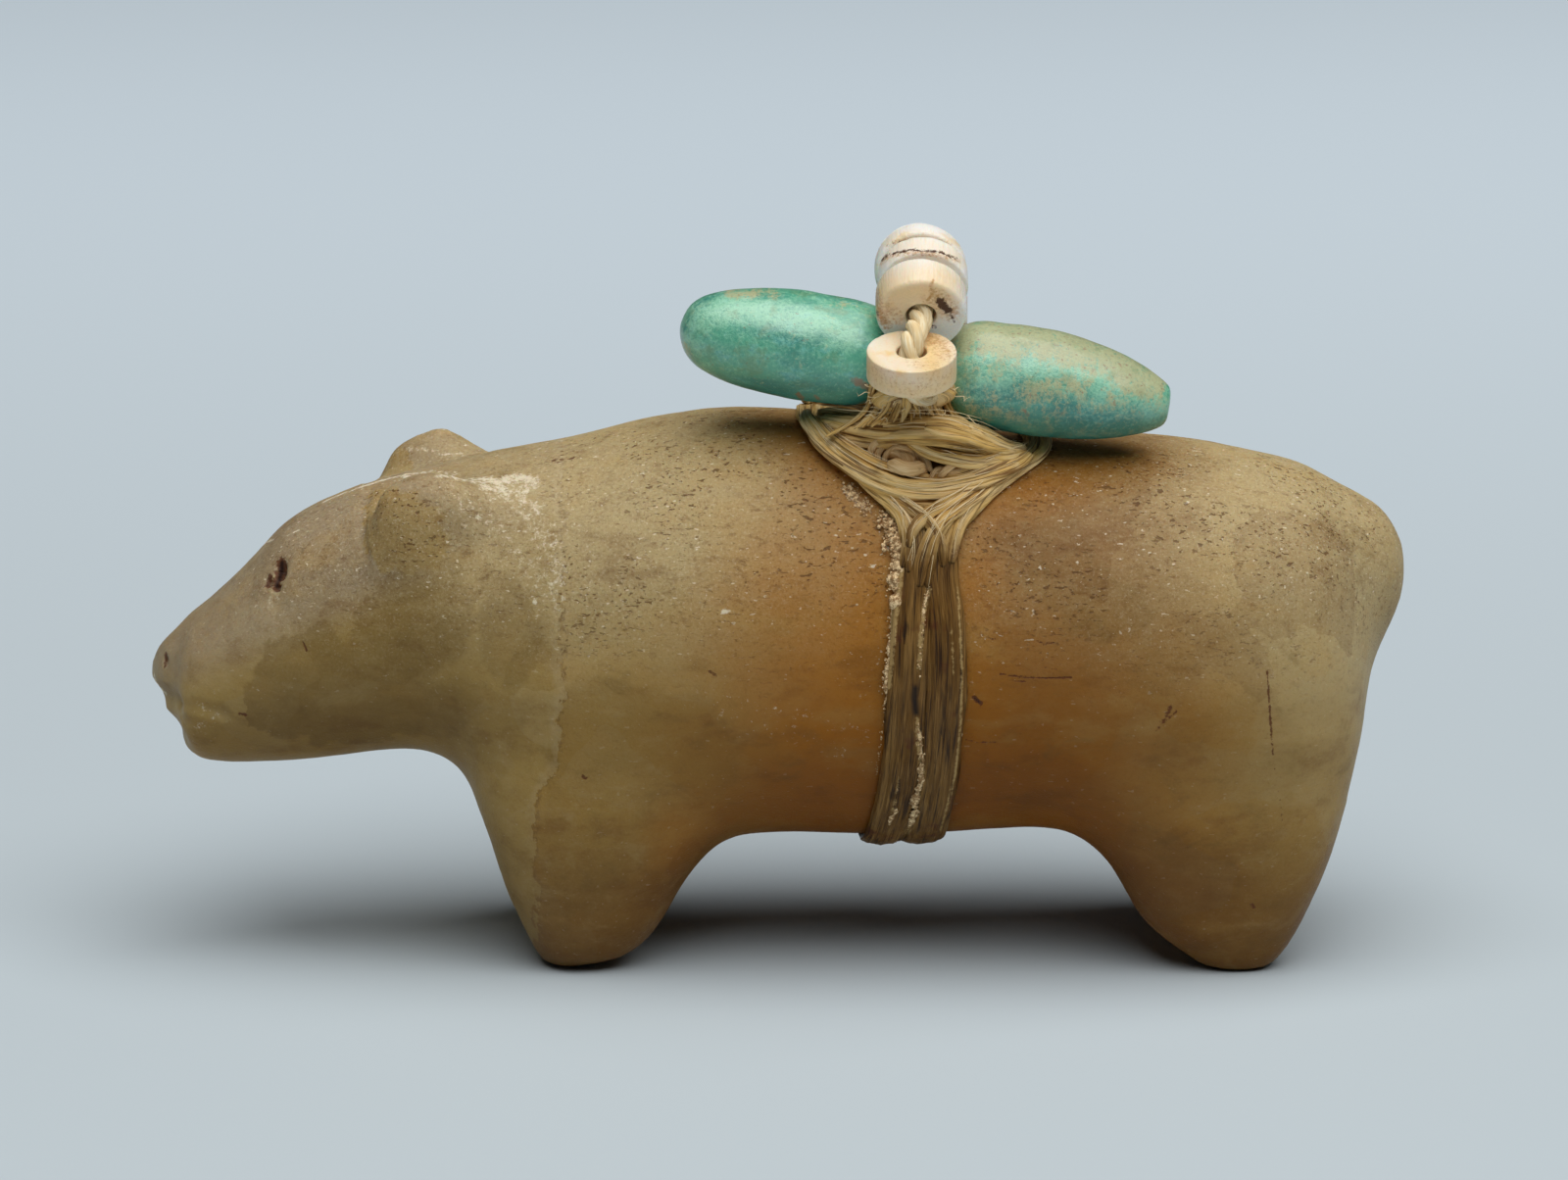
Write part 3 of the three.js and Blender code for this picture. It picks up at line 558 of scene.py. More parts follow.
# %% The marks on the stone
BOTH_SIDES = [
    ([(288, 574), (287, 584), (283, 598)], 1.0, 1.0),
    ([(276, 589), (273, 598)], 0.7, 0.85),
    ([(169, 668), (168, 680)], 0.45, 0.85),
]
MARKS = {
    "rust": [
        ([(1020, 688), (1045, 691), (1070, 692), (1093, 691)], 0.18, 0.85),
        ([(1032, 694), (1050, 696)], 0.2, 0.75),
        ([(1000, 647), (1008, 651), (1016, 652)], 0.22, 0.7),
        ([(1058, 654), (1066, 657), (1076, 656)], 0.22, 0.7),
        ([(1066, 681), (1078, 683)], 0.2, 0.6),
        ([(1000, 722), (1020, 722)], 0.2, 0.6),
        ([(985, 755), (998, 757), (1018, 758)], 0.22, 0.6),
        ([(1195, 722), (1190, 731), (1186, 738)], 0.55, 0.62),
        ([(1180, 745), (1200, 726)], 0.3, 0.55),
        ([(1293, 685), (1295, 715), (1297, 745), (1299, 770)], 0.24, 0.78),
        ([(1299, 770), (1302, 795), (1307, 822), (1308, 838)], 0.16, 0.5),
        ([(245, 728), (250, 729)], 0.35, 0.8),
        ([(309, 655), (313, 664)], 0.2, 0.8),
        ([(724, 685), (730, 689)], 0.3, 0.8),
        ([(994, 712), (1000, 717)], 0.4, 1.0),
        ([(595, 792), (598, 794)], 0.35, 0.8),
        ([(1277, 922), (1280, 926)], 0.3, 0.8),
        ([(560, 471), (588, 467)], 0.9, 0.6),
    ],
    "frost": [
        ([(330, 506), (372, 492), (410, 485), (450, 486), (490, 491), (510, 494)], 1.0, 0.80),
        ([(492, 489), (510, 491), (528, 487), (546, 490)], 1.5, 0.84),
        ([(498, 498), (515, 500), (540, 498)], 2.3, 0.66),
        ([(505, 504), (530, 508), (552, 524)], 2.3, 0.60),
        ([(462, 490), (480, 488), (500, 496)], 1.2, 0.6),
        ([(556, 530), (568, 560), (576, 590)], 1.6, 0.55),
        ([(525, 515), (548, 545), (562, 575), (568, 610)], 3.0, 0.48),
        ([(470, 512), (500, 530), (530, 560), (552, 600)], 5.0, 0.42),
        ([(545, 500), (580, 520), (600, 560), (604, 600)], 3.6, 0.30),
        ([(345, 520), (350, 550), (345, 580)], 2.2, 0.34),
        ([(404, 462), (430, 458), (450, 464), (470, 463)], 0.6, 0.6),
        ([(412, 484), (440, 481), (465, 484)], 1.0, 0.7),
        ([(270, 555), (279, 551)], 0.5, 0.8),
        ([(300, 543), (305, 541)], 0.3, 0.8),
        ([(275, 612), (283, 610)], 0.8, 0.6),
        # at the corner of the mouth: white frost with a painted highlight on the lip's bump
        ([(157, 688), (161, 698), (168, 706)], 0.9, 0.75),
        ([(205, 722), (230, 733)], 1.5, 0.46),
        ([(185, 745), (205, 741), (222, 730)], 1.5, 0.45),
        ([(165, 652), (175, 640), (190, 628)], 0.8, 0.35),
        ([(210, 704), (258, 700)], 1.5, 0.26),
        ([(545, 612), (546, 614)], 0.45, 1.0),
        ([(738, 624), (744, 624)], 0.4, 0.9),
        ([(700, 702), (740, 710), (790, 722), (840, 735), (888, 748)], 0.9, 0.42),
        ([(730, 725), (800, 745), (860, 765)], 2.6, 0.30),
        ([(864, 499), (872, 508), (886, 520)], 1.0, 0.8),
        ([(905, 528), (915, 540), (912, 556)], 1.3, 0.85),
        ([(1000, 530), (1035, 560), (1040, 590)], 3.0, 0.24),
        ([(1090, 505), (1150, 540)], 4.0, 0.2),
    ],
    # painted light: an amber glow where light would shine through the stone, by the band, under the pebbles
    # and at the belly's edges
    "painted_glow": [
        ([(790, 620), (850, 640), (885, 690)], 9.0, 0.6),
        ([(900, 560), (890, 700), (870, 830)], 8.0, 0.9),
        ([(985, 580), (990, 700), (985, 830)], 5.0, 0.9),
        ([(1000, 512), (1040, 500), (1085, 485), (1150, 468)], 5.0, 0.95),
        ([(700, 850), (725, 835)], 5.0, 0.8),
        ([(1000, 838), (1060, 838), (1110, 838)], 3.6, 0.9),
        ([(800, 432), (850, 465), (890, 505)], 6.0, 0.95),
        ([(745, 838), (860, 840)], 2.6, 0.7),
        ([(1120, 860), (1160, 930)], 3.0, 0.4),
    ],
}
PATCHES = [
    ([(372, 612), (387, 590), (409, 581), (424, 582), (455, 582), (471, 587), (480, 606), (486, 640),
      (470, 668), (440, 690), (400, 700), (372, 692), (355, 665), (362, 640)], 0.46),
    ([(424, 582), (455, 582), (471, 587), (480, 606), (484, 622), (462, 640), (440, 636), (428, 612)], 0.38),
    ([(490, 603), (496, 590), (509, 584), (521, 587), (540, 615), (549, 637), (552, 680), (530, 700),
      (500, 690), (488, 650)], 0.48),
    ([(262, 682), (280, 655), (330, 640), (362, 655), (392, 690), (470, 705), (500, 722), (462, 752),
      (380, 760), (300, 755), (255, 720)], 0.56),
    ([(252, 700), (268, 680), (300, 690), (318, 720), (300, 752), (262, 745)], 0.66),
    ([(300, 560), (330, 548), (352, 575), (345, 612), (318, 622), (296, 600)], 0.16),
    ([(400, 690), (470, 690), (540, 720), (535, 770), (505, 800), (470, 760), (410, 752)], 0.24),
    ([(584, 690), (700, 700), (760, 760), (740, 830), (690, 850), (600, 930), (556, 930), (552, 800)], 0.25),
    # painted shade on the upper flank behind the band, under the rear pebble
    ([(1085, 520), (1110, 545), (1130, 585), (1160, 600), (1180, 640), (1120, 650), (1040, 600), (1000, 560),
      (1020, 520)], 0.30),
    ([(1180, 740), (1300, 700), (1340, 780), (1300, 870), (1220, 900), (1150, 850)], 0.16),
]
PATCH_WANDERS = [(12, 1.6, 4.0, 7.0), (4, 0.6, 5.0, 9.0)]
EAR_LOBE = [(374, 506), (392, 496), (430, 502), (452, 522), (456, 560), (440, 580), (400, 584), (374, 566),
            (369, 540)]
FINE_MARK = 0.8
MARK_SPREAD = 1.6
FINER_REACHES = (1.0, 0.55)
# Painted shade on the undersides: it starts where the faces turn below this and is full this much further
# down.
UNDER_SHADE_FROM = 0.2
UNDER_SHADE_SPAN = 0.8


def inside_outline(places, outline):
    """Which places in the photograph lie inside an outline: each crossing to the right turns the answer."""
    inside = np.zeros(len(places), dtype=bool)
    for (x0, y0), (x1, y1) in zip(outline, outline[1:] + outline[:1]):
        if y0 == y1:
            continue
        spans = (y0 > places[:, 1]) != (y1 > places[:, 1])
        crossing = x0 + (places[:, 1] - y0) / (y1 - y0) * (x1 - x0)
        inside ^= spans & (places[:, 0] < crossing)
    return inside


def paint_marks(piece):
    """Paints every kind of mark on the bear, and a painted shade on its undersides. Crystal patches come out
    the same on both sides.
    """
    points = points_of(piece.data)
    for name, lines in MARKS.items():
        both = BOTH_SIDES if name == "rust" else []
        value = np.zeros(len(points))
        for k, (pixels, width, strength) in enumerate(lines + both):
            places = [seen_on_bear(pixel) for pixel in pixels]
            twins = [[far_twin(place) for place in places]] if k >= len(lines) else []
            for line in [places] + twins:
                value = np.maximum(value, strength * along_line(points, line, width * MARK_SPREAD))
        paint(piece.data, name, value)
        print(name, "marks", len(lines))
    near_twins = points * (1, 0, 1) - np.abs(points) * (0, 1, 0)
    on_picture = pixels_of(near_twins)
    for amount, size, seed, other_seed in PATCH_WANDERS:
        stray = [lumps(near_twins, size, seed), lumps(near_twins, size, other_seed)]
        on_picture += np.column_stack(stray) * amount
    patch = np.zeros(len(points))
    for outline, strength in PATCHES:
        patch = np.maximum(patch, strength * inside_outline(on_picture, outline))
    paint(piece.data, "patch", patch)
    paint(piece.data, "lobe", inside_outline(on_picture, EAR_LOBE))
    # painted shade: darker where the faces turn downward, away from the light above
    down_facing_shade = np.clip((UNDER_SHADE_FROM - outs_of(piece.data)[:, 2]) / UNDER_SHADE_SPAN, 0, 1)
    paint(piece.data, "under", eased(down_facing_shade))


fine_lines = [
    ([seen_on_bear(pixel) for pixel in pixels], width)
    for pixels, width, _ in MARKS["rust"] + MARKS["frost"] + BOTH_SIDES
    if width < FINE_MARK
]
for reach in FINER_REACHES:
    middles = np.empty(len(bear.data.polygons) * 3)
    bear.data.polygons.foreach_get("center", middles)
    middles = middles.reshape(-1, 3) / MM
    close = np.zeros(len(middles), dtype=bool)
    for places, width in fine_lines:
        close |= along_line(middles, places, 2 * (width + reach)) > 0
    finer_faces(bear.data, np.flatnonzero(close))
bear_tree = tree_of(bear)
paint_marks(bear)
print("bear points with its marks", len(bear.data.vertices))

# %% [markdown]
# The stone is a banded calcite that lets some light in: clear amber where it is thin or clean, clouded tan
# on the back and rump, and olive-grey on the head, which is another crystal. The finish starts from those
# zones, adds crystal patches, then grain, pits with brown dirt and pale specks, and last the painted marks.

# %% The stone's colours
AMBER = (0.385, 0.140, 0.003)
DEEP_AMBER = (0.145, 0.050, 0.005)
TAWNY = (0.385, 0.235, 0.058)
HONEY_CLOUD = (0.48, 0.300, 0.090)
CLOUDED_TAN = (0.49, 0.375, 0.185)
OLIVE = (0.385, 0.255, 0.078)
DARK_OLIVE = (0.185, 0.112, 0.030)
GREY_BROW = (0.345, 0.262, 0.155)
FROST = (0.84, 0.74, 0.55)
PIT_BROWN = (0.12, 0.050, 0.014)
RUST_BROWN = (0.11, 0.028, 0.008)
HOLLOW_BROWN = (0.028, 0.010, 0.005)
# the tint that multiplies the colour in the painted shade on the undersides
UNDER_SHADE_TINT = (0.68, 0.58, 0.42)

stone = Finish(
    "honey_stone",
    Subsurface_Weight=0.35,
    Subsurface_Radius=(1.0, 0.5, 0.2),
    Subsurface_Scale=0.0035,
    Specular_IOR_Level=0.18,
)
along, _, height = stone.parts(stone.place)
cloud_along, _, cloud_height = stone.parts(stone.warped(7.0, 7.0))

# %% The stone's zones
near_band = stone.eased(cloud_along, 38.0, 17.0) * stone.eased(cloud_along, -12.0, 4.0)
clouded_back = stone.eased(cloud_height, 17.0, 34.0) * (1 - near_band * 0.5)
behind_band = stone.eased(along, 11.0, 15.0) * stone.eased(along, 33.0, 25.0)
# painted shade: the upper flank behind the band, under the rear pebble, is darkened with deep amber
shaded_right_flank = behind_band * stone.eased(height, 12.0, 20.0)
rump = stone.eased(cloud_along, 27.0, 40.0) * stone.eased(cloud_height, 4.0, 27.0)
# Deeper amber low on the body: partly the stone's own colour, partly painted shade under the belly and on
# the legs.
deep_and_shaded_low = stone.eased(cloud_height - near_band * 4.0, 14.0, 3.0)
body = stone.layered(
    TAWNY,
    (near_band, AMBER),
    (clouded_back, CLOUDED_TAN),
    (shaded_right_flank * 0.34, DEEP_AMBER),
    (rump * 0.9, CLOUDED_TAN),
    (deep_and_shaded_low * 0.55, DEEP_AMBER),
)

brow = stone.eased(height - along * 0.5, 39.5, 43.5)
behind_ear = stone.eased(along, -29.0, -20.0) * stone.eased(height, 21.0, 29.0)
cell_value, cell_other, _ = stone.parts(stone.cells(5.2, at=stone.warped(2.2, 1.6), output="Color"))
head = stone.layered(
    OLIVE,
    (brow, GREY_BROW),
    (behind_ear * 0.75, CLOUDED_TAN),
    (stone.painted("lobe") * 0.7, OLIVE),
    (stone.eased(cell_value, 0.35, 0.75) * 0.16, DARK_OLIVE),
    (stone.eased(cell_other, 0.6, 0.9) * 0.2, CLOUDED_TAN),
    # darker olive low down on the front leg: partly painted shade
    (stone.eased(height, 12.0, 3.0) * 0.35, DARK_OLIVE),
)

jagged = stone.noise(1.4, 4.0, 0.7, at=stone.stretched(1.0, 1.0, 1.6))
step_left = stone.eased(height, 17.5, 12.5)
edge = along + 15.4 + step_left * 1.9 + (jagged - 0.5) * 2.8
in_front = stone.eased(edge, 0.08, -0.08)
pale_edge = stone.eased(edge, -0.8, -0.1) * in_front * stone.eased(height, 7.0, 16.0)
brown_edge = stone.eased(edge, 0.40, 0.05) * (1 - in_front) * stone.eased(stone.noise(0.4), 0.42, 0.6)
colour = stone.layered(body, (in_front, head), (pale_edge * 0.09, FROST), (brown_edge * 0.55, PIT_BROWN))

# %% The stone's clouds and grain
big_value, big_other, _ = stone.parts(stone.cells(9.0, at=stone.warped(3.0, 2.4), output="Color"))
dusty = 1 - near_band * (1 - clouded_back * 0.8) * 0.85
veins = stone.noise(2.6, 6.0, 0.68, at=stone.stretched(1.5, 1.0, 0.9), distortion=0.5)
wisps = stone.noise(4.5, 5.0, 0.66, at=stone.stretched(1.8, 1.0, 0.8, at=stone.shifted(31.0)))
colour = stone.layered(
    colour,
    (stone.eased(big_value, 0.5, 0.8) * 0.14 * dusty, CLOUDED_TAN),
    (stone.eased(big_other, 0.6, 0.9) * 0.22 * (1 - in_front), DEEP_AMBER),
    (stone.painted("patch") * 0.75, DARK_OLIVE),
    (stone.eased(veins, 0.50, 0.72) * 0.28 * dusty, CLOUDED_TAN),
    (stone.eased(veins, 0.48, 0.28) * 0.42, DARK_OLIVE),
    # painted light: the amber glow of light through the stone
    (stone.painted("painted_glow") * 0.7, AMBER),
    (stone.eased(wisps, 0.50, 0.68) * 0.24, HONEY_CLOUD),
    (stone.eased(wisps, 0.46, 0.32) * 0.30, DEEP_AMBER),
)

upper = stone.eased(cloud_height, 20.0, 31.0)
grain = stone.noise(0.20, 3.0, 0.75)
mottle = stone.noise(0.75, 4.0, 0.75, at=stone.stretched(1.4, 1.0, 0.9))
colour = stone.layered(
    colour,
    (stone.eased(mottle, 0.50, 0.68) * (0.06 + upper * 0.22) * dusty, CLOUDED_TAN),
    (stone.eased(mottle, 0.48, 0.30) * (0.12 + upper * 0.26), DEEP_AMBER),
    (stone.eased(grain, 0.52, 0.74) * (0.05 + upper * 0.30) * dusty, FROST),
    (stone.eased(grain, 0.46, 0.28) * (0.16 + upper * 0.34), DEEP_AMBER),
)

# %% The stone's pits and marks
def flecks(size, rarity, shift=0.0):
    """Ragged flecks drawn out along the bear: 1 inside. The rarer they are, the smaller too."""
    drawn = stone.shifted(shift, at=stone.stretched(1.7, 1.1, 0.85))
    return stone.eased(stone.noise(size, 2.0, 0.5, at=drawn), rarity, rarity + 0.05)


pit_zone = upper * stone.eased(stone.noise(5.0, 2.0), 0.38, 0.58)
small_pits = flecks(0.25, 0.620) * (0.12 + pit_zone * 0.88)
large_pits = flecks(0.55, 0.672, 9.0) * (0.12 + pit_zone * 0.88)
specks = flecks(0.30, 0.68, 21.0) * (0.15 + upper * 0.85)
all_pits = stone.node("ShaderNodeMath", {"operation": "MAXIMUM"}, {0: small_pits, 1: large_pits})
all_pits = all_pits * (1 - in_front * 0.55 * (1 - stone.painted("lobe")))
crumbs = stone.noise(0.42, 4.0, 0.75)
frosted = stone.eased(stone.painted("frost") + (crumbs - 0.5) * 1.9, 0.42, 0.80)
broken = stone.noise(0.30, 3.0, 0.7)
rusted = stone.eased(stone.painted("rust") + (broken - 0.5) * 1.3, 0.36, 0.62)
colour = stone.layered(
    colour,
    # painted shade on the faces that turn downward
    (stone.painted("under"), stone.mixed(1.0, colour, UNDER_SHADE_TINT, "MULTIPLY")),
    (specks * 0.7, FROST),
    (all_pits * 0.75, PIT_BROWN),
    (frosted * 0.8, FROST),
    (rusted * 0.85, RUST_BROWN),
    (stone.eased(stone.painted("rust"), 0.62, 0.95), HOLLOW_BROWN),
)
stone.set("Base Color", colour)
stone.set("Roughness", 0.40 + upper * 0.12 + frosted * 0.3 + stone.eased(grain, 0.4, 0.7) * 0.12)
coarse = stone.bump(grain * 0.5 + mottle * 0.5, 0.07)
stone.set("Normal", stone.bump(1 - all_pits * 0.7 - rusted * 0.3, 0.10, before=coarse))
bear.data.materials.clear()
bear.data.materials.append(stone.material)
belongs(bear, "bear")

# %% [markdown]
# Everything in the bundle lies on the bear's back and flanks, so its paths are written in two ways. The
# strands that go right round the body are given by an angle from the crest and an offset along the bear
# from the binding. The bundles that show in the photograph are given by their places in it and by how high
# they lie over the stone.

# %% Places on the skin under the binding
BINDING_PLACE = 10.18
TRUNK_MIDDLE = 23.2
NEAR = -1
FAR = 1
FLIPS = {NEAR: (1, 1, 1), FAR: (1, -1, 1)}
LONGEST_DROP = 60
MOST_SLANTED = 0.3
EVENINGS = 6


def skin_under(offset, angle):
    """The skin at an offset from the binding and an angle from the crest towards the near side."""
    turn = math.radians(angle)
    start = Vector((BINDING_PLACE + offset, 0, TRUNK_MIDDLE)) * MM
    found = bear_tree.ray_cast(start, Vector((0, -math.sin(turn), math.cos(turn))))
    return found[0] / MM, found[1]


def over_bear(pixel, lift):
    """The place that shows at a pixel and lies at a lift over the stone."""
    for drop in range(LONGEST_DROP):
        way = ray_through((pixel[0], pixel[1] + drop))
        place, out, _, _ = bear_tree.ray_cast(eye_place * MM, way)
        if place is not None:
            break
    way = ray_through(pixel)
    return place / MM + up * (drop / PIXELS_PER_MM) - way * (lift / max(-way.dot(out), MOST_SLANTED))


def through(stations, places):
    """Smooth values between stations: each has a place first and then its values."""
    table = np.array(stations, dtype=float)
    marks = table[:, 0]
    slopes = np.gradient(table[:, 1:], marks, axis=0)
    i = np.clip(np.searchsorted(marks, places, side="right") - 1, 0, len(marks) - 2)
    span = (marks[i + 1] - marks[i])[:, None]
    t = np.clip((places - marks[i])[:, None] / span, 0, 1)
    ease = t * t * (3 - 2 * t)
    straight = table[i, 1:] * (1 - ease) + table[i + 1, 1:] * ease
    leave = slopes[i] * t * (1 - t) ** 2 * span
    arrive = slopes[i + 1] * t * t * (t - 1) * span
    return straight + leave + arrive


def lengths_along(path):
    """How far along a path each of its points lies."""
    steps = np.sqrt((np.diff(path, axis=0) ** 2).sum(axis=1))
    return np.concatenate([[0], np.cumsum(steps)])


def units(vectors):
    """Vectors, one row each, made one long."""
    return vectors / np.sqrt((vectors ** 2).sum(axis=1))[:, None]


def sides_and_ups(path, outs, loop=False):
    """Directions one long to the side of a path and up from it, at each of its points."""
    ways = np.gradient(path, axis=0)
    if loop:
        ways[0] = ways[-1] = path[1] - path[-2]
    sides = units(np.cross(ways, outs))
    return sides, units(np.cross(sides, ways))


def curve_through(places, count):
    """Evenly spread points on a smooth curve through places."""
    given = np.array([list(place) for place in places])
    marks = lengths_along(given)
    return through(np.column_stack([marks, given]), np.linspace(0, marks[-1], count))


def outward_at(points):
    """The directions out of the bear's skin nearest to points, evened out along the row."""
    outs = np.array([list(bear_tree.find_nearest(Vector(point) * MM)[1]) for point in points])
    for _ in range(EVENINGS):
        outs[1:-1] = (outs[:-2] + outs[1:-1] * 2 + outs[2:]) / 4
    return units(outs)


# %% [markdown]
# Dried sinew and twine are both bundles of fibre. One helper makes a bundle: a grid whose short side is
# bent round into a tube and whose long side follows a path. Noise that is drawn out along the path combs
# ridges into it. Each point also keeps how far round, how far along and in which bundle it lies, so that
# the finish can draw streaks which follow the fibres.

# %% Bundles of fibre
DRAWN_OUT = 0.16


class Fibres:
    """A mesh that gathers bundles of fibre."""

    def __init__(self):
        self.bm = bmesh.new()
        self.laid = self.bm.verts.layers.float_vector.new("laid")

    def bundle(self, path, outs, half_width, half_thickness, seed, around=14, comb=0.16, twist=0.0,
               flat_below=0.45, ridges=2.2, loop=False):
        """A bundle along a path, with sizes in millimetres that may differ from point to point."""
        rows = len(path)
        made = bmesh.ops.create_grid(self.bm, x_segments=around, y_segments=rows - 1, size=1)["verts"]
        spread = np.array([vert.co[:2] for vert in made])
        row = np.rint((spread[:, 1] + 1) / 2 * (rows - 1)).astype(int)
        turn = (spread[:, 0] + 1) * math.pi

        sides, ups = sides_and_ups(path, outs, loop)
        along = lengths_along(path)
        half_width = np.broadcast_to(half_width, rows)
        half_thickness = np.broadcast_to(half_thickness, rows)

        share = along / along[-1] * 2 * math.pi
        reach = along[-1] / (2 * math.pi) * DRAWN_OUT
        swell = np.empty(len(made))
        for k, (i, angle) in enumerate(zip(row, turn)):
            angle = angle + twist * along[i]
            grain = Vector((math.cos(angle) * ridges, math.sin(angle) * ridges, seed * 7.3))
            if loop:
                grain += Vector((math.cos(share[i]), math.sin(share[i]), 0)) * reach
            else:
                grain.z += along[i] * DRAWN_OUT
            swell[k] = 1 + comb * (noise.noise(grain) + 0.6 * noise.noise(grain * 2.3))
        across = np.cos(turn) * half_width[row] * swell
        rise = np.sin(turn)
        rise = np.where(rise < 0, rise * flat_below, rise) * half_thickness[row] * swell
        places = path[row] + sides[row] * across[:, None] + ups[row] * rise[:, None]
        for vert, place, i, angle in zip(made, places, row, turn):
            vert.co = place * MM
            vert[self.laid] = (math.cos(angle) * half_width[i] * 1.4, along[i], seed)
        bmesh.ops.remove_doubles(self.bm, verts=made, dist=1e-4 * MM)

    def finished(self, name, finish):
        bmesh.ops.recalc_face_normals(self.bm, faces=self.bm.faces)
        return object_of(name, self.bm, finish)


def tapered(count, start=0.12, end=0.12, least=0.0):
    """A size along a bundle: 1 in its middle, falling to the least at both ends."""
    share = np.linspace(0, 1, count)
    rise = np.clip(share / start, 0, 1) if start else np.ones(count)
    fall = np.clip((1 - share) / end, 0, 1) if end else np.ones(count)
    return least + (1 - least) * np.sqrt(np.clip(rise * fall, 0, 1))


# %% [markdown]
# Sinew is animal tendon, laid on wet and dried hard: straw-pale on the back, stained dark down the flanks,
# a little glossy, with darker streaks between its fibres and pale dust where it has frayed. The streaks are
# noise on the fibre's own coordinates, drawn out about twenty times along it.

# %% The sinew's finish
SADDLE_SINEW = {"base": (0.80, 0.505, 0.155), "pale": (1.0, 0.80, 0.45), "dark": (0.17, 0.064, 0.012)}
FLANK_SINEW = {"base": (0.150, 0.068, 0.012), "pale": (0.44, 0.245, 0.072), "dark": (0.022, 0.008, 0.003)}
SINEW_RUST = (0.090, 0.018, 0.006)
SINEW_BLACK = (0.016, 0.009, 0.006)
SINEW_DUST = (0.50, 0.33, 0.13)
PALE_FROM = over_bear((948, 510), 0.0).z
DARK_FROM = over_bear((948, 578), 0.0).z

sinew = Finish("dried_sinew", Roughness=0.5, Specular_IOR_Level=0.20)
laid = sinew.painted("laid", "Vector")
fine, middle, wide = [
    sinew.noise(1.0, detail, 0.6, at=sinew.vector("MULTIPLY", laid, (across, along, 1.0)))
    for across, along, detail in ((11.0, 0.35, 4.0), (3.4, 0.16, 3.0), (1.1, 0.09, 3.0))
]
patch = sinew.noise(2.2, 3.0, 0.6)
drop = sinew.parts(sinew.place)[2]
on_flank = sinew.eased(drop + (patch - 0.5) * 3.0, PALE_FROM, DARK_FROM)
base, pale, dark = [
    sinew.mixed(on_flank, SADDLE_SINEW[tone], FLANK_SINEW[tone]) for tone in ("base", "pale", "dark")
]
stain = sinew.eased(sinew.noise(2.6, 3.0, 0.6, at=sinew.shifted(9.0)), 0.56, 0.72) * on_flank
crumbling = sinew.noise(0.35, 4.0, 0.75)
dusted = sinew.eased(sinew.painted("pale") + (crumbling - 0.5) * 1.6, 0.35, 0.75)
colour = sinew.layered(
    base,
    (sinew.eased(wide, 0.42, 0.70) * (0.7 - on_flank * 0.3), pale),
    (sinew.eased(patch, 0.58, 0.76) * 0.6 * (1 - on_flank), pale),
    (sinew.eased(middle, 0.50, 0.36) * 0.85, dark),
    (stain * 0.8, SINEW_RUST),
    (sinew.eased(fine, 0.52, 0.70) * 0.55, pale),
    (sinew.eased(fine, 0.48, 0.32) * 0.55, dark),
    (dusted * 0.9, SINEW_DUST),
    (sinew.painted("black"), SINEW_BLACK),
)
sinew.set("Base Color", colour)
sinew.set("Roughness", 0.38 + sinew.eased(patch, 0.4, 0.7) * 0.3)
sinew.set("Normal", sinew.bump(fine * 0.6 + middle * 0.4, 0.17))

# %% [markdown]
# Two flat strands go right round the body. On each side they run together down the flank, and over the
# back they part under the two pebbles. Each is a wide pressed ribbon with a few loose bundles on it.

# %% The two strands round the body
STRAND_HALF_WIDTH = 1.42
STRAND_LIFT = 0.12
STRAND_THICKNESS = 0.95
RIBBON_RISE = 0.28
RIBBON_HALF_THICKNESS = 0.58
LOOSE_RISE = 0.62
LOOSE_SPREAD = 0.86
LOOSE_THICKNESS = 0.8
LOOSE_WANDER = 0.22
FRONT_STRAND = [
    (0, -8.0, 0.80, 0.45),
    (8, -7.9, 0.80, 0.5),
    (18, -6.6, 0.85, 0.7),
    (31, -4.0, 0.95, 0.8),
    (40, -1.9, 0.95, 0.8),
    (48, -0.7, 0.80, 0.9),
    (60, -0.9, 0.85, 0.9),
    (79, -1.2, 0.98, 1.0),
    (95, -1.35, 1.0, 1.0),
    (119, -1.7, 1.0, 1.0),
    (150, -2.7, 1.0, 0.9),
    (168, -3.1, 1.0, 0.8),
    (180, -3.1, 1.0, 0.8),
]
REAR_STRAND = [
    (0, 7.6, 0.80, 0.45),
    (22, 7.2, 0.70, 0.5),
    (32, 4.6, 0.85, 0.7),
    (42, 2.3, 0.95, 0.8),
    (50, 1.1, 0.80, 0.9),
    (60, 0.9, 0.85, 0.9),
    (79, 1.25, 0.98, 1.0),
    (95, 1.25, 1.0, 1.0),
    (119, 0.9, 1.0, 1.0),
    (150, 0.1, 1.0, 0.9),
    (168, -0.3, 1.0, 0.8),
    (180, -0.3, 1.0, 0.8),
]
ROUND_ROWS = 241
LOOSE_BUNDLES = [
    (-0.82, 0.22, 0.26),
    (-0.42, 0.30, 0.24),
    (0.02, 0.26, 0.30),
    (0.42, 0.30, 0.24),
    (0.84, 0.20, 0.28),
]


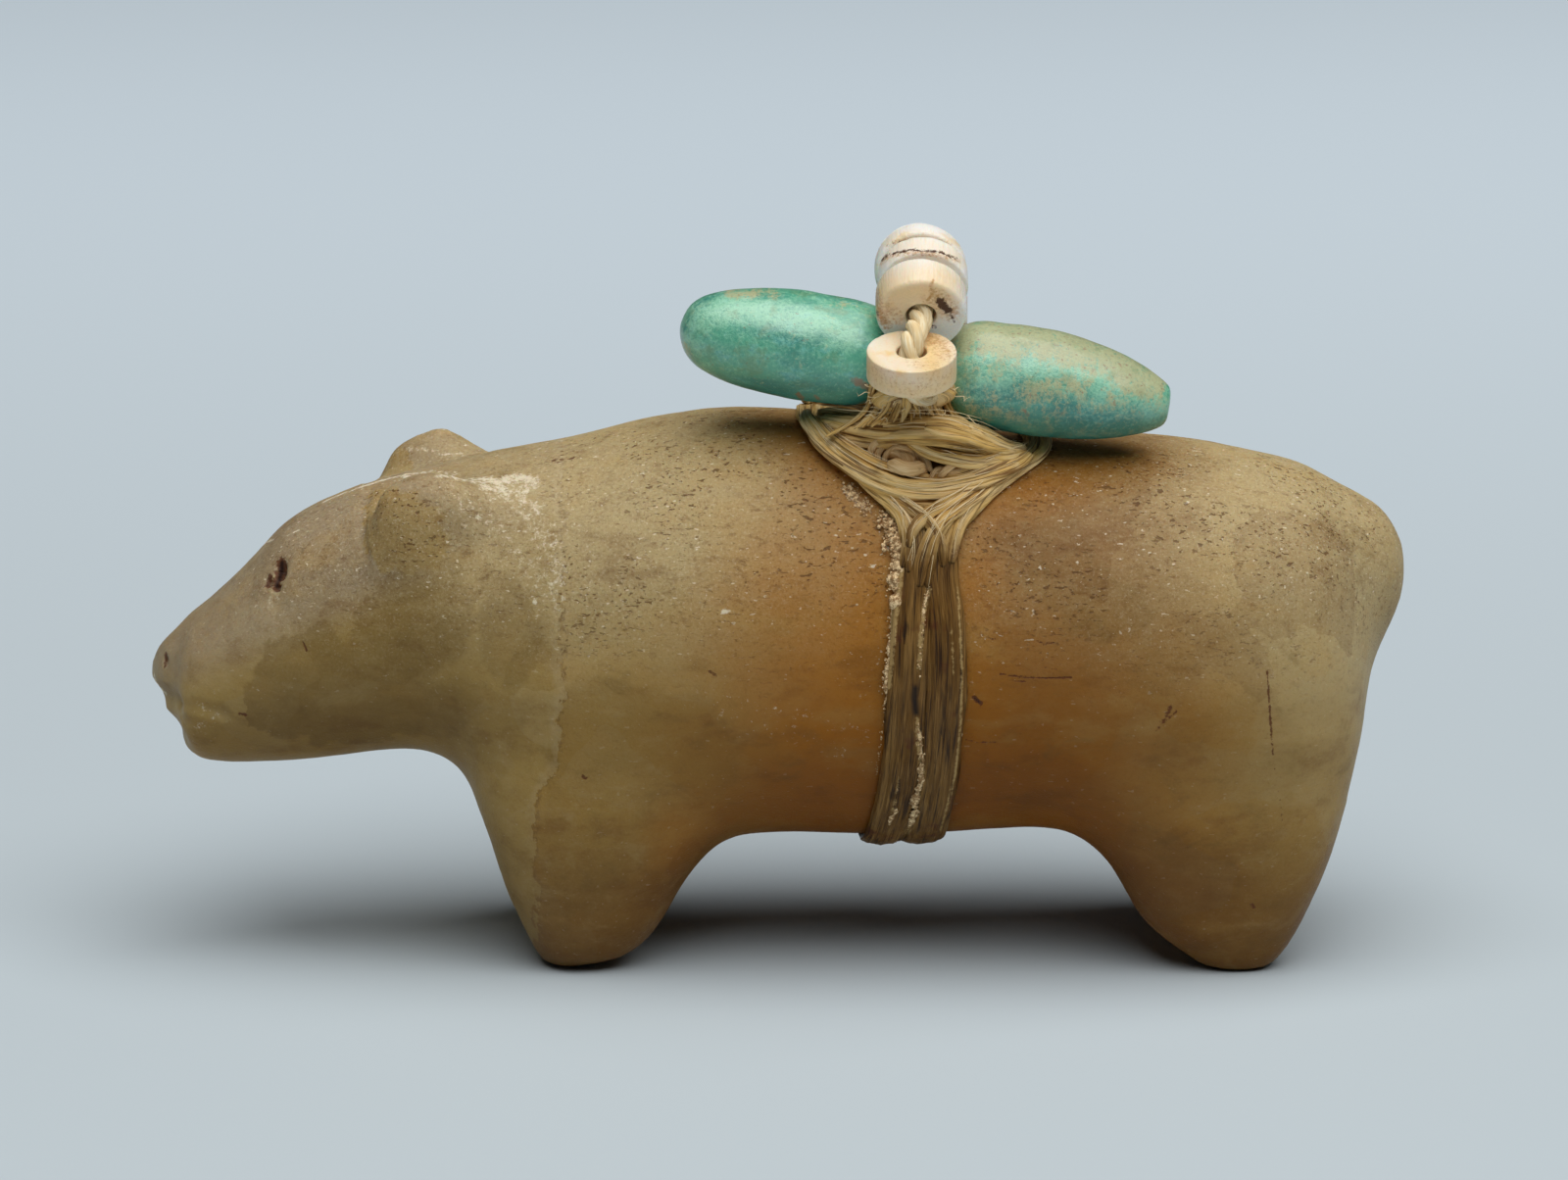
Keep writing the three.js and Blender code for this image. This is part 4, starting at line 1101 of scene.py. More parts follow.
def round_strand(fibres, stations, seed):
    """A ribbon round the whole body, and the loose bundles along it."""
    turns = np.linspace(-180, 180, ROUND_ROWS)
    values = through(stations, np.abs(turns))
    offsets, broad, thick = values.T
    skin = [skin_under(offset, turn) for offset, turn in zip(offsets, turns)]
    feet = np.array([list(place) for place, _ in skin])
    outs = outward_at(feet)
    outs[0] = outs[-1] = (outs[0] + outs[-1]) / 2
    sides, _ = sides_and_ups(feet, outs)
    half = STRAND_HALF_WIDTH * broad
    high = STRAND_THICKNESS * thick
    base = feet + outs * (STRAND_LIFT + high * RIBBON_RISE)[:, None]
    fibres.bundle(base, outs, half, high * RIBBON_HALF_THICKNESS, seed, around=52, comb=0.13, ridges=7.0,
                  loop=True)
    circle = np.radians(turns)
    for k, (place, broad_share, high_share) in enumerate(LOOSE_BUNDLES):
        wander = np.array([
            noise.noise(Vector((math.cos(turn) * 1.7, math.sin(turn) * 1.7, seed * 3.1 + k * 5.7)))
            for turn in circle
        ])
        across = half * (place + LOOSE_WANDER * wander) * LOOSE_SPREAD
        dome = np.sqrt(np.clip(1 - (across / half) ** 2, 0.1, 1))
        lift = STRAND_LIFT + high * LOOSE_RISE * dome
        centre = feet + sides * across[:, None] + outs * lift[:, None]
        swelling = 1 + 0.35 * wander[::-1]
        half_high = high * high_share * LOOSE_THICKNESS * swelling
        fibres.bundle(centre, outs, half * broad_share * swelling, half_high, seed + k + 1, around=12,
                      comb=0.2, ridges=3.0, loop=True)


def paint_lines(piece, marks):
    """Paints marks, each a list of lines in the photograph: places, width in millimetres and strength."""
    on_picture = pixels_of(points_of(piece.data))
    flat = np.column_stack([on_picture, np.zeros(len(on_picture))])
    facing = outs_of(piece.data) @ np.array(back) > 0
    for name, lines in marks.items():
        value = np.zeros(len(flat))
        for pixels, width, strength in lines:
            places = [(*pixel, 0) for pixel in pixels]
            near = np.sqrt(along_line(flat, places, width * PIXELS_PER_MM))
            value = np.maximum(value, strength * near)
        paint(piece.data, name, value * facing)


BAND_BLACK = [
    # a hole between the fibres, painted black for the shade in it, as no hole is cut
    ([(934, 702), (933, 712), (935, 728)], 0.62, 1.0),
    ([(925, 636), (922, 652)], 0.30, 0.9),
    ([(951, 574), (948, 592)], 0.36, 0.85),
    ([(947, 600), (945, 620)], 0.26, 0.6),
    ([(962, 705), (963, 735), (960, 750)], 0.26, 0.75),
    ([(971, 700), (970, 716)], 0.26, 0.7),
    ([(912, 806), (909, 815)], 0.3, 0.7),
    ([(968, 625), (966, 690)], 0.2, 0.45),
    ([(944, 660), (945, 760)], 0.2, 0.6),
    ([(931, 745), (930, 780)], 0.3, 0.5),
]
BAND_PALE = [
    ([(948, 600), (943, 622), (940, 650), (938, 682)], 0.55, 0.8),
    ([(936, 735), (938, 760), (941, 785), (937, 810), (930, 838), (926, 850)], 0.7, 0.7),
    ([(917, 795), (914, 815), (908, 838)], 0.45, 0.6),
    ([(977, 600), (980, 640), (982, 690), (980, 740), (975, 790), (966, 825), (959, 848)], 0.30, 0.8),
    ([(971, 640), (973, 690)], 0.3, 0.6),
    ([(919, 545), (917, 590), (911, 640), (905, 700)], 0.9, 0.9),
    ([(903, 700), (896, 760), (884, 820)], 0.35, 0.5),
]

band = Fibres()
round_strand(band, FRONT_STRAND, 1.0)
round_strand(band, REAR_STRAND, 11.0)
flank_band = band.finished("sinew_flank_band", sinew)
paint_lines(flank_band, {"black": BAND_BLACK, "pale": BAND_PALE})
belongs(flank_band, "sinew_binding")

# %% [markdown]
# On the back the sinew fans out. A sling of fibres hangs like a smile from one pebble to the other, more
# fibres gather below it into the band, and an upper bundle lies across under the beads. Each line below was
# followed in the photograph: places in it, then the lift over the stone at the start, middle and end, then
# the half width and half thickness.

# %% The saddle bundles
SADDLE_BUNDLES = [
    ([(823, 418), (827, 433), (845, 453), (867, 469), (894, 484), (925, 494), (956, 496), (985, 491),
      (1014, 482), (1041, 471), (1053, 461)], (0.9, 1.7, 0.9), 0.62, 0.42),
    ([(824, 424), (838, 451), (865, 473), (894, 491), (925, 502), (956, 503), (988, 496), (1019, 486),
      (1046, 471)], (0.8, 1.35, 0.8), 0.60, 0.42),
    ([(829, 433), (854, 465), (885, 489), (916, 505), (947, 510), (974, 505), (1001, 494), (1028, 483)],
     (0.6, 1.05, 0.6), 0.58, 0.42),
    ([(832, 425), (850, 446), (874, 462), (900, 476), (925, 484), (950, 487)], (1.0, 1.7, 1.5), 0.45, 0.4),
    ([(950, 488), (978, 485), (1005, 476), (1030, 466), (1047, 459)], (1.4, 1.5, 0.9), 0.45, 0.4),
    ([(868, 478), (894, 498), (914, 516), (926, 532), (930, 552), (928, 585)], (0.7, 0.9, 0.8), 0.46, 0.34),
    ([(876, 489), (900, 508), (917, 524), (923, 545), (920, 580)], (0.5, 0.8, 0.7), 0.42, 0.30),
    ([(1018, 482), (1001, 502), (979, 518), (961, 531), (949, 550), (941, 575), (937, 600)],
     (0.6, 1.15, 0.8), 0.55, 0.34),
    ([(1012, 488), (990, 508), (970, 525), (957, 545), (950, 575), (946, 600)],
     (0.6, 1.15, 0.75), 0.46, 0.30),
    ([(1010, 486), (990, 499), (965, 514), (946, 526), (932, 540), (927, 560)],
     (0.9, 1.35, 1.0), 0.48, 0.36),
    ([(880, 484), (905, 503), (930, 518), (950, 534), (960, 555), (962, 580)],
     (0.7, 1.25, 0.8), 0.46, 0.34),
    ([(1024, 480), (1008, 496), (992, 514), (981, 532), (975, 550), (970, 575)],
     (0.4, 0.7, 0.8), 0.40, 0.28),
]
UPPER_BUNDLES = [
    ([(834, 421), (862, 424), (889, 425), (916, 424), (943, 423), (967, 428)], (1.0, 2.4, 2.6), 0.55, 0.5),
    ([(836, 426), (867, 433), (900, 436), (938, 434), (970, 436), (1001, 444), (1028, 456), (1048, 457)],
     (1.0, 3.0, 0.9), 0.75, 0.6),
    ([(837, 430), (867, 440), (900, 445), (934, 443), (965, 445), (996, 453), (1023, 461), (1046, 458)],
     (0.9, 3.0, 0.8), 0.75, 0.6),
    ([(838, 433), (862, 447), (889, 453), (916, 450), (943, 454), (970, 460), (996, 465), (1023, 465),
      (1044, 459)], (0.8, 2.5, 0.7), 0.62, 0.5),
    ([(925, 447), (945, 460), (970, 467), (992, 470), (1014, 467), (1037, 461)], (2.6, 2.3, 0.8), 0.60, 0.5),
    ([(943, 435), (965, 439), (990, 447), (1012, 455), (1035, 458)], (3.2, 2.9, 1.1), 0.60, 0.45),
    ([(880, 428), (905, 430), (930, 428), (955, 428), (975, 433), (992, 440)], (2.2, 3.2, 2.4), 0.65, 0.55),
]
BUNDLE_ROWS = 48
SPLITS = {NEAR: 5, FAR: 3}
SPLIT_SIZES = {NEAR: 0.50, FAR: 0.62}
GOLDEN_TURN = 2.4


def seen_path(pixels, lifts, rows=BUNDLE_ROWS):
    """A smooth path through places in the photograph, at lifts over the stone."""
    start, middle, end = lifts
    shares = np.linspace(0, 1, len(pixels))
    high = np.interp(shares, [0, 0.5, 1], [start, middle, end])
    return curve_through([over_bear(pixel, lift) for pixel, lift in zip(pixels, high)], rows)


def saddle_bundle(fibres, pixels, lifts, half_width, half_thickness, seed, side):
    """One bundle, on the near side as it shows or mirrored to the far side."""
    path = seen_path(pixels, lifts)
    outs = outward_at(path) * FLIPS[side]
    path = path * FLIPS[side]
    sides, _ = sides_and_ups(path, outs)
    rows = len(path)
    size = tapered(rows, 0.15, 0.15, 0.3)
    open_rows = np.minimum(np.arange(rows), np.arange(rows)[::-1]) > 0
    split_size = SPLIT_SIZES[side] * size * open_rows
    for k in range(SPLITS[side]):
        turn = k * GOLDEN_TURN + seed
        reach = math.sqrt((k + 0.4) / SPLITS[side])
        wander = np.array([
            noise.noise(Vector((share * 3.0, seed, k * 2.7))) for share in np.linspace(0, 1, rows)
        ])
        across = half_width * size * (0.72 * reach * math.cos(turn) + 0.5 * wander)
        rise = half_thickness * size * (0.6 * reach * math.sin(turn) + 0.4 * wander[::-1])
        strand = path + sides * across[:, None] + outs * rise[:, None]
        fibres.bundle(strand, outs, half_width * split_size, half_thickness * split_size,
                      seed + k * 0.37, around=12, comb=0.26, ridges=2.6, flat_below=0.9)


SADDLE_MARKS = {
    "pale": [([(990, 502), (980, 530), (972, 562)], 0.9, 0.6)],
    "black": [([(846, 448), (875, 470)], 0.35, 0.5), ([(905, 462), (893, 482)], 0.4, 0.35)],
}
FIRST_SEEDS = {NEAR: 20, FAR: 60}

saddle = Fibres()
for side in (NEAR, FAR):
    for k, (pixels, lifts, half_width, half_thickness) in enumerate(SADDLE_BUNDLES + UPPER_BUNDLES):
        saddle_bundle(saddle, pixels, lifts, half_width, half_thickness, FIRST_SEEDS[side] + k, side)
saddle_piece = saddle.finished("sinew_saddle", sinew)
paint_lines(saddle_piece, SADDLE_MARKS)
belongs(saddle_piece, "sinew_binding")

# %% [markdown]
# The string is three-ply twine of a pale plant fibre. Each ply is a bundle that winds round the string's
# path, and the fibres inside it twist the other way, as in real twine. The path goes through every bead's
# hole, so it is worked out from the beads' places.

# %% The beads' places
BEAD_NODES = ["shell_bead_%d" % number for number in range(1, 7)]
BEAD_AXES = [107, 30, 26, 10, -24, -105]
BEAD_THICKNESSES = [2.1, 2.7, 2.0, 2.0, 2.0, 2.1]
BEAD_RADIUS = 3.15
THREAD_LEAD = 0.35
LOWEST_BEAD_SHIFT = (-0.2, -0.3, 0.85)


def across_direction(degrees):
    """A direction across the bear, in degrees up from level towards its far side."""
    turn = math.radians(degrees)
    return Vector((0, math.cos(turn), math.sin(turn)))


bead_centres = []
for node in BEAD_NODES:
    low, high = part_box(node)
    bead_centres.append((Vector(low) + Vector(high)) / 2 / MM)
bead_centres[0] += Vector(LOWEST_BEAD_SHIFT)
print("bead centres", [tuple(round(value, 2) for value in centre) for centre in bead_centres])

# %% The twine's finish
TWINE_PALE = (0.84, 0.63, 0.33)
TWINE_LIGHT = (0.97, 0.86, 0.60)
KNOT_PALE = (0.66, 0.41, 0.17)
KNOT_LIGHT = (0.90, 0.66, 0.36)
TWINE_DARK = (0.26, 0.14, 0.055)


def twine_finish(name, pale, light, dirt_and_shade):
    """Plant-fibre twine with darker patches: dirt, and on the knot also painted shade between its coils."""
    finish = Finish(name, Roughness=0.75, Specular_IOR_Level=0.3)
    laid = finish.painted("laid", "Vector")
    fine = finish.noise(1.0, 3.0, 0.6, at=finish.vector("MULTIPLY", laid, (10.0, 0.7, 1.0)))
    patch = finish.noise(1.1, 3.0, 0.6)
    colour = finish.mixed(finish.eased(fine, 0.38, 0.68), pale, light)
    colour = finish.mixed(finish.eased(patch, 0.62 - dirt_and_shade, 0.8 - dirt_and_shade) * 0.8, colour, TWINE_DARK)
    finish.set("Base Color", colour)
    finish.set("Normal", finish.bump(fine, 0.12))
    return finish


clean_twine = twine_finish("twine_bead_string", TWINE_PALE, TWINE_LIGHT, -0.06)
# the knot is darker in patches: its dirt, with painted shade between its coils
knot_twine = twine_finish("twine_knot", KNOT_PALE, KNOT_LIGHT, 0.05)

# %% Winding the twine
PLY_TURN = 2.6
PLY_PLACE = 0.255
PLY_RADIUS = 0.25


def twine(fibres, path, outs, diameter, seed, taper=None, plies=3):
    """Plies wound round a path. A whole turn takes PLY_TURN times the diameter."""
    sides, ups = sides_and_ups(path, outs)
    along = lengths_along(path)
    size = np.ones(len(path)) if taper is None else taper
    for ply in range(plies):
        turn = along / (PLY_TURN * diameter) * 2 * math.pi + ply * 2 * math.pi / plies
        shift = diameter * PLY_PLACE * size
        centre = path + sides * (np.cos(turn) * shift)[:, None] + ups * (np.sin(turn) * shift)[:, None]
        round_size = diameter * PLY_RADIUS * size
        fibres.bundle(centre, outs, round_size, round_size, seed + ply, around=14, comb=0.12,
                      twist=1.3, flat_below=1.0, ridges=2.0)


STRING_DIAMETER = 1.7
STRING_ROWS = 260
LEFT_TAIL = [(24.5, 1.2), (20, 1.6), (18, 2.9), (24, 5.1)]
RIGHT_TAIL = [(-14, 5.0), (-16, 2.9), (-20, 1.6), (-24.5, 1.2)]


def lifted(offset, angle, lift):
    place, out = skin_under(offset, angle)
    return place + out * lift


string_places = [lifted(0, angle, lift) for angle, lift in LEFT_TAIL]
for k, centre in enumerate(bead_centres):
    hanging = k in (0, len(bead_centres) - 1)
    lead = across_direction(BEAD_AXES[k]) * (BEAD_THICKNESSES[k] / 2 + THREAD_LEAD * hanging)
    string_places += [centre - lead, centre + lead]
string_places += [lifted(0, angle, lift) for angle, lift in RIGHT_TAIL]
string_path = curve_through(string_places, STRING_ROWS)
along_bear = np.tile([1.0, 0.0, 0.0], (len(string_path), 1))
string = Fibres()
end_size = tapered(len(string_path), 0.02, 0.02)
twine(string, string_path, along_bear, STRING_DIAMETER, 101, end_size)
belongs(string.finished("bead_twine", clean_twine), "bead_string")

# %% [markdown]
# Below the upper bundle the end of the twine is held in a small knot: an oval lobe where a bight of the
# twine comes out and dives in again, a flatter end beside it and a curl of fibre round its top.

# %% The knot
KNOT_LOBE = ([(905, 466), (913, 469), (924, 475), (936, 483), (946, 491)], (0.7, 2.2, 0.8), 2.05)
KNOT_END = ([(944, 492), (956, 484), (968, 479), (980, 477), (994, 476)], (1.2, 1.9, 1.0), 1.05)
KNOT_CURLS = [
    ([(897, 474), (896, 462), (903, 453), (914, 450), (926, 452), (937, 460), (946, 472), (952, 484)],
     (1.3, 2.5, 1.4), 0.36, 0.34),
    ([(902, 480), (904, 466), (912, 458), (922, 457), (931, 462), (938, 472), (945, 486)],
     (1.2, 2.5, 1.2), 0.26, 0.28),
    ([(890, 470), (889, 460), (895, 451), (906, 446), (918, 445), (930, 447)], (1.2, 2.3, 1.6), 0.30, 0.3),
]

knot = Fibres()
for side in (NEAR, FAR):
    flip = FLIPS[side]
    for k, (pixels, lifts, diameter) in enumerate((KNOT_LOBE, KNOT_END)):
        path = seen_path(pixels, lifts)
        outs = outward_at(path) * flip
        twine(knot, path * flip, outs, diameter, 120 + k * 3, tapered(len(path), 0.3, 0.3, 0.0), 2)
    for k, (pixels, lifts, half_width, half_thickness) in enumerate(KNOT_CURLS):
        path = seen_path(pixels, lifts)
        size = tapered(len(path), 0.2, 0.2)
        knot.bundle(path * flip, outward_at(path) * flip, half_width * size, half_thickness * size,
                    130 + k, around=12, comb=0.2)
belongs(knot.finished("twine_knot", knot_twine), "sinew_binding")

# %% [markdown]
# Under the lowest bead the string is frayed into a matted skirt that stands on the upper bundle. Its
# fibres fall from the bead's underside and spread. A lump of matted fibre fills it, so nothing shows
# through, and finer hairs stand off it and off the saddle as they do on real old twine.

# %% The frayed skirt
SKIRT_FIBRES = 74
LUMP_ROWS = 30
FIBRE_ROWS = 20
SKIRT_TOP = (9.1, -9.9, 43.0)
SKIRT_FOOT = (9.4, -9.0, 40.2)
far_bottom = bead_centres[5] + across_direction(BEAD_AXES[5]) * BEAD_THICKNESSES[5] / 2
FAR_SKIRT_TOP = (far_bottom.x, -far_bottom.y, far_bottom.z + 0.2)
chance = random.Random(11)


def skirt(fibres, flip, skirt_top):
    """The frayed twine: a matted lump, and fibres that fan out from the bead over the upper bundle."""
    middle = (np.array(skirt_top) + np.array(SKIRT_FOOT)) / 2
    core = np.linspace(middle - (3.0, -0.9, 0.3), middle + (3.0, 0.9, 0.3), LUMP_ROWS)
    size = tapered(LUMP_ROWS, 0.45, 0.45)
    outs = np.tile([0.0, -0.6, 0.8], (LUMP_ROWS, 1))
    fibres.bundle(core * flip, outs * flip, 1.1 * size, 1.4 * size, 151, around=24, comb=0.3, flat_below=1.0)
    for k in range(SKIRT_FIBRES):
        share = chance.uniform(-1, 1)
        wide = abs(share)
        fall = chance.uniform(0.4, 1.0)
        top = Vector(skirt_top) + Vector((share * 2.7, chance.uniform(-0.3, 0.5) + 0.9 * wide ** 2, 0))
        belly_pixel = (931 + share * 52, 413 + 8 * wide + chance.uniform(-2, 2))
        foot_pixel = (931 + share * (52 + 44 * fall), 420 + 12 * fall + 16 * wide ** 1.5)
        belly = over_bear(belly_pixel, 3.6 - 0.9 * wide + chance.uniform(-0.3, 0.2))
        foot = over_bear(foot_pixel, 3.1 - 1.2 * wide)
        path = curve_through([top, belly, foot], FIBRE_ROWS) * flip
        outs = outward_at(path * flip) * flip
        size = tapered(FIBRE_ROWS, 0.1, 0.4)
        fibres.bundle(path, outs, chance.uniform(0.12, 0.30) * size, chance.uniform(0.10, 0.16) * size,
                      160 + k, around=8, comb=0.3, flat_below=1.0)


frayed = Fibres()
for side, skirt_top in ((NEAR, SKIRT_TOP), (FAR, FAR_SKIRT_TOP)):
    skirt(frayed, FLIPS[side], skirt_top)
belongs(frayed.finished("twine_skirt", sinew), "bead_string")

# %% Fine hairs
SADDLE_HAIRS = {NEAR: 5, FAR: 2}
SKIRT_HAIRS = 26
HAIR_RADIUS = 0.032
LONG_ROWS = 22
SHORT_ROWS = 9


def hair_piece(name, paths, radius, finish):
    """Fine hairs: a curve for each, with a thin round section, turned into one mesh."""
    curves = bpy.data.curves.new(name, "CURVE")
    curves.dimensions = "3D"
    curves.bevel_depth = radius * MM
    curves.bevel_resolution = 0
    for path in paths:
        spline = curves.splines.new("POLY")
        spline.points.add(len(path) - 1)
        for point, place, fade in zip(spline.points, path, tapered(len(path), 0.1, 0.6)):
            point.co = (*(Vector(place) * MM), 1)
            point.radius = max(fade, 0.15)
    rough = bpy.data.objects.new(name + "_curves", curves)
    bpy.context.scene.collection.objects.link(rough)
    depsgraph = bpy.context.evaluated_depsgraph_get()
    bm = bmesh.new()
    bm.from_mesh(bpy.data.meshes.new_from_object(rough.evaluated_get(depsgraph)))
    bpy.data.objects.remove(rough)
    return object_of(name, bm, finish)


def wandering(path, amount, reach=0.0):
    """A path that strays from its start by up to an amount, and lifts off by a reach at its end."""
    shift = chance.uniform(0, 100)
    shares = np.linspace(0, 1, len(path))
    stray = np.array([list(noise.noise_vector(Vector((share * 2.5, shift, 0)))) for share in shares])
    return path + stray * amount * shares[:, None] ** 0.5 + np.outer(shares ** 2, (0, -reach, reach))


hair_paths = []
for side, count in SADDLE_HAIRS.items():
    for pixels, lifts, half_width, half_thickness in SADDLE_BUNDLES + UPPER_BUNDLES:
        path = seen_path(pixels, lifts, LONG_ROWS)
        outs = outward_at(path)
        for _ in range(count):
            start = chance.randrange(0, SHORT_ROWS)
            end = chance.randrange(start + SHORT_ROWS, LONG_ROWS + 1)
            across = chance.uniform(-0.8, 0.8) * half_width
            strand = path + outs * (half_thickness + chance.uniform(-0.05, 0.10)) + (0, 0, across)
            strand = wandering(strand[start:end], 0.5, chance.uniform(-0.2, 0.5) ** 3)
            hair_paths.append(strand * FLIPS[side])
for side, skirt_top in ((NEAR, SKIRT_TOP), (FAR, FAR_SKIRT_TOP)):
    for _ in range(SKIRT_HAIRS):
        start = Vector(SKIRT_FOOT).lerp(Vector(skirt_top), chance.uniform(0, 0.95))
        start += Vector((chance.uniform(-3.6, 3.6), -0.35, 0))
        way = Vector((chance.uniform(-1, 1), chance.uniform(-0.9, -0.1), chance.uniform(-0.9, 0.7)))
        end = start + way.normalized() * chance.uniform(0.5, 1.4)
        straight = np.linspace(list(start), list(end), SHORT_ROWS)
        hair_paths.append(wandering(straight, 0.6) * FLIPS[side])
hairs = hair_piece("fine_hairs", hair_paths, HAIR_RADIUS, clean_twine)
belongs(hairs, "sinew_binding")

# %% [markdown]
# A pale crust clings along the band's edges and in its groove, and in two patches on the stone. Ragged
# ribbons make its body. Crumbs are strewn over them along lines from the photograph, and each is a
# twenty-sided ball pushed out of shape.

# %% The crust's crumbs
CRUST = [
    ([(908, 540), (914, 556), (917, 578), (914, 600)], 1.0, 0.50, 420, 0.19),
    ([(916, 600), (912, 625), (909, 652), (906, 680), (903, 706)], 0.45, 0.40, 240, 0.12),
    ([(864, 498), (873, 508), (886, 521)], 0.8, 0.04, 190, 0.15),
    ([(903, 527), (912, 535), (920, 541)], 1.0, 0.25, 190, 0.17),
    ([(948, 600), (943, 622), (940, 650), (938, 690)], 0.36, 0.95, 120, 0.10),
    ([(936, 735), (938, 760), (940, 790), (932, 832)], 0.40, 0.95, 110, 0.10),
    ([(977, 590), (980, 640), (982, 690), (979, 745), (971, 800), (961, 842)], 0.22, 0.50, 230, 0.09),
    ([(905, 700), (901, 740), (894, 790)], 0.22, 0.40, 60, 0.08),
]
CRUST_RIBBONS = [
    ([(915, 543), (918, 570), (916, 598), (912, 622)], 1.15, 0.50),
    ([(915, 612), (911, 640), (908, 665), (905, 695), (903, 720)], 0.42, 0.38),
    ([(947, 602), (943, 622), (940, 650), (938, 684)], 0.30, 0.76),
    ([(937, 736), (939, 760), (942, 785), (938, 800)], 0.26, 0.76),
    ([(942, 780), (938, 805), (932, 830), (928, 850)], 0.60, 0.76),
    ([(917, 800), (913, 825), (908, 842)], 0.45, 0.80),
    ([(979, 600), (981, 640), (983, 690), (980, 742), (973, 795), (963, 840)], 0.24, 0.44),
]
RIBBON_ROWS = 220
LINE_SPOTS = 60


def crumb(bm, place, out, radius, seed):
    """One crumb: a coarse ball flattened on what it clings to, with its corners pushed about."""
    made = bmesh.ops.create_icosphere(bm, subdivisions=1, radius=radius * MM)["verts"]
    for k, vert in enumerate(made):
        vert.co *= 1 + 0.45 * noise.noise(Vector((k * 1.7, seed * 2.3, 0)))
    turn = Vector((0, 0, 1)).rotation_difference(out).to_matrix()
    spin = Matrix.Rotation(seed, 3, "Z")
    for vert in made:
        flat = spin @ vert.co
        vert.co = turn @ Vector((flat.x, flat.y, flat.z * 0.7)) + place * MM


CRUST_BROWN = (0.32, 0.18, 0.075)
CRUST_PALE = (0.92, 0.68, 0.38)

crust_finish = Finish("sinew_crust", Roughness=0.85, Specular_IOR_Level=0.2)
crumb_tone = crust_finish.noise(0.28, 4.0, 0.75)
crust_colour = crust_finish.mixed(crust_finish.eased(crumb_tone, 0.44, 0.60), CRUST_BROWN, CRUST_PALE)
crust_finish.set("Base Color", crust_colour)
crust_finish.set("Normal", crust_finish.bump(crust_finish.noise(0.12), 0.05))
crust_ribbons = Fibres()
for pixels, width, lift in CRUST_RIBBONS:
    path = curve_through([over_bear(pixel, lift) for pixel in pixels], RIBBON_ROWS)
    outs = outward_at(path)
    spots = [Vector(place) for place in path]
    ragged = [0.75 + 0.5 * noise.noise(spot * 1.3) + 0.5 * noise.noise(spot * 3.7) for spot in spots]
    stray = np.array([noise.noise(spot * 1.1 + Vector((7, 0, 0))) for spot in spots])
    size = tapered(RIBBON_ROWS, 0.1, 0.1) * np.array(ragged)
    path = path + np.outer(stray * width * 0.5, (1, 0, 0))
    crust_ribbons.bundle(path, outs, width / 2 * size, width * 0.22 * size, 300 + lift, around=16, comb=0.5,
                         ridges=2.4)
belongs(crust_ribbons.finished("sinew_crust_ribbons", crust_finish), "sinew_binding")

crust_shape = bmesh.new()
for pixels, width, lift, count, size in CRUST:
    line = curve_through([(*pixel, 0) for pixel in pixels], LINE_SPOTS)
    for k in range(count):
        spot = line[chance.randrange(LINE_SPOTS)]
        spread = width * PIXELS_PER_MM / 2
        pixel = (spot[0] + chance.gauss(0, spread * 0.6), spot[1] + chance.gauss(0, spread * 0.6))
        place = over_bear(pixel, lift * chance.uniform(0.5, 1.0))
        out = Vector(outward_at([place])[0])
        radius = size * (0.35 + 0.65 * chance.random() ** 2)
        crumb(crust_shape, place, out, radius, chance.uniform(0, 6))
crust = object_of("sinew_crust", crust_shape, crust_finish)
crust.data.polygons.foreach_set("use_smooth", [False] * len(crust.data.polygons))
belongs(crust, "sinew_binding")

# %% [markdown]
# The beads are small discs ground from shell and drilled. A lathe makes one: a profile of half the disc's
# cut face is spun round the hole. The hand that ground it left it not quite round, and its edge is nicked.
# Stains are lines from the photograph, and a mottle breaks them up.

# %% The shell's finish
SHELL_WHITE = (0.99, 0.955, 0.88)
SHELL_CREAM = (0.90, 0.63, 0.28)
SHELL_OCHRE = (0.50, 0.24, 0.055)
SHELL_BROWN = (0.075, 0.026, 0.009)


def shell_finish(name, cream, gloss):
    """Ground shell: fine lines along the hole, cream and ochre stains, brown dirt."""
    finish = Finish(name, Specular_IOR_Level=0.5, Subsurface_Weight=0.2, Subsurface_Scale=0.0012)
    turned = finish.painted("turned", "Vector")
    lines = finish.noise(1.0, 4.0, 0.65, at=finish.vector("MULTIPLY", turned, (5.0, 5.0, 0.5)))
    patch = finish.noise(1.9, 3.0, 0.55)
    brown = finish.painted("brown")
    mottle = finish.noise(0.26, 5.0, 0.75)
    colour = finish.layered(
        SHELL_WHITE,
        (finish.eased(patch, 0.62 - cream, 0.86 - cream), SHELL_CREAM),
        (finish.eased(lines, 0.50, 0.70) * 0.34, SHELL_CREAM),
        (finish.painted("cream") * 0.95, SHELL_CREAM),
        (finish.eased(finish.painted("ochre") + (mottle - 0.5) * 2.0, 0.30, 1.0) * 0.85, SHELL_OCHRE),
        (finish.eased(brown + (mottle - 0.5) * 1.6, 0.40, 0.70), SHELL_BROWN),
    )
    finish.set("Base Color", colour)
    finish.set("Roughness", gloss + finish.eased(lines, 0.4, 0.7) * 0.25 + brown * 0.2)
    finish.set("Normal", finish.bump(lines, 0.05))
    return finish


glossy_shell = shell_finish("shell_glossy", 0.05, 0.22)
ridged_shell = shell_finish("shell_ridged", 0.04, 0.40)
worn_shell = shell_finish("shell_worn", 0.10, 0.38)

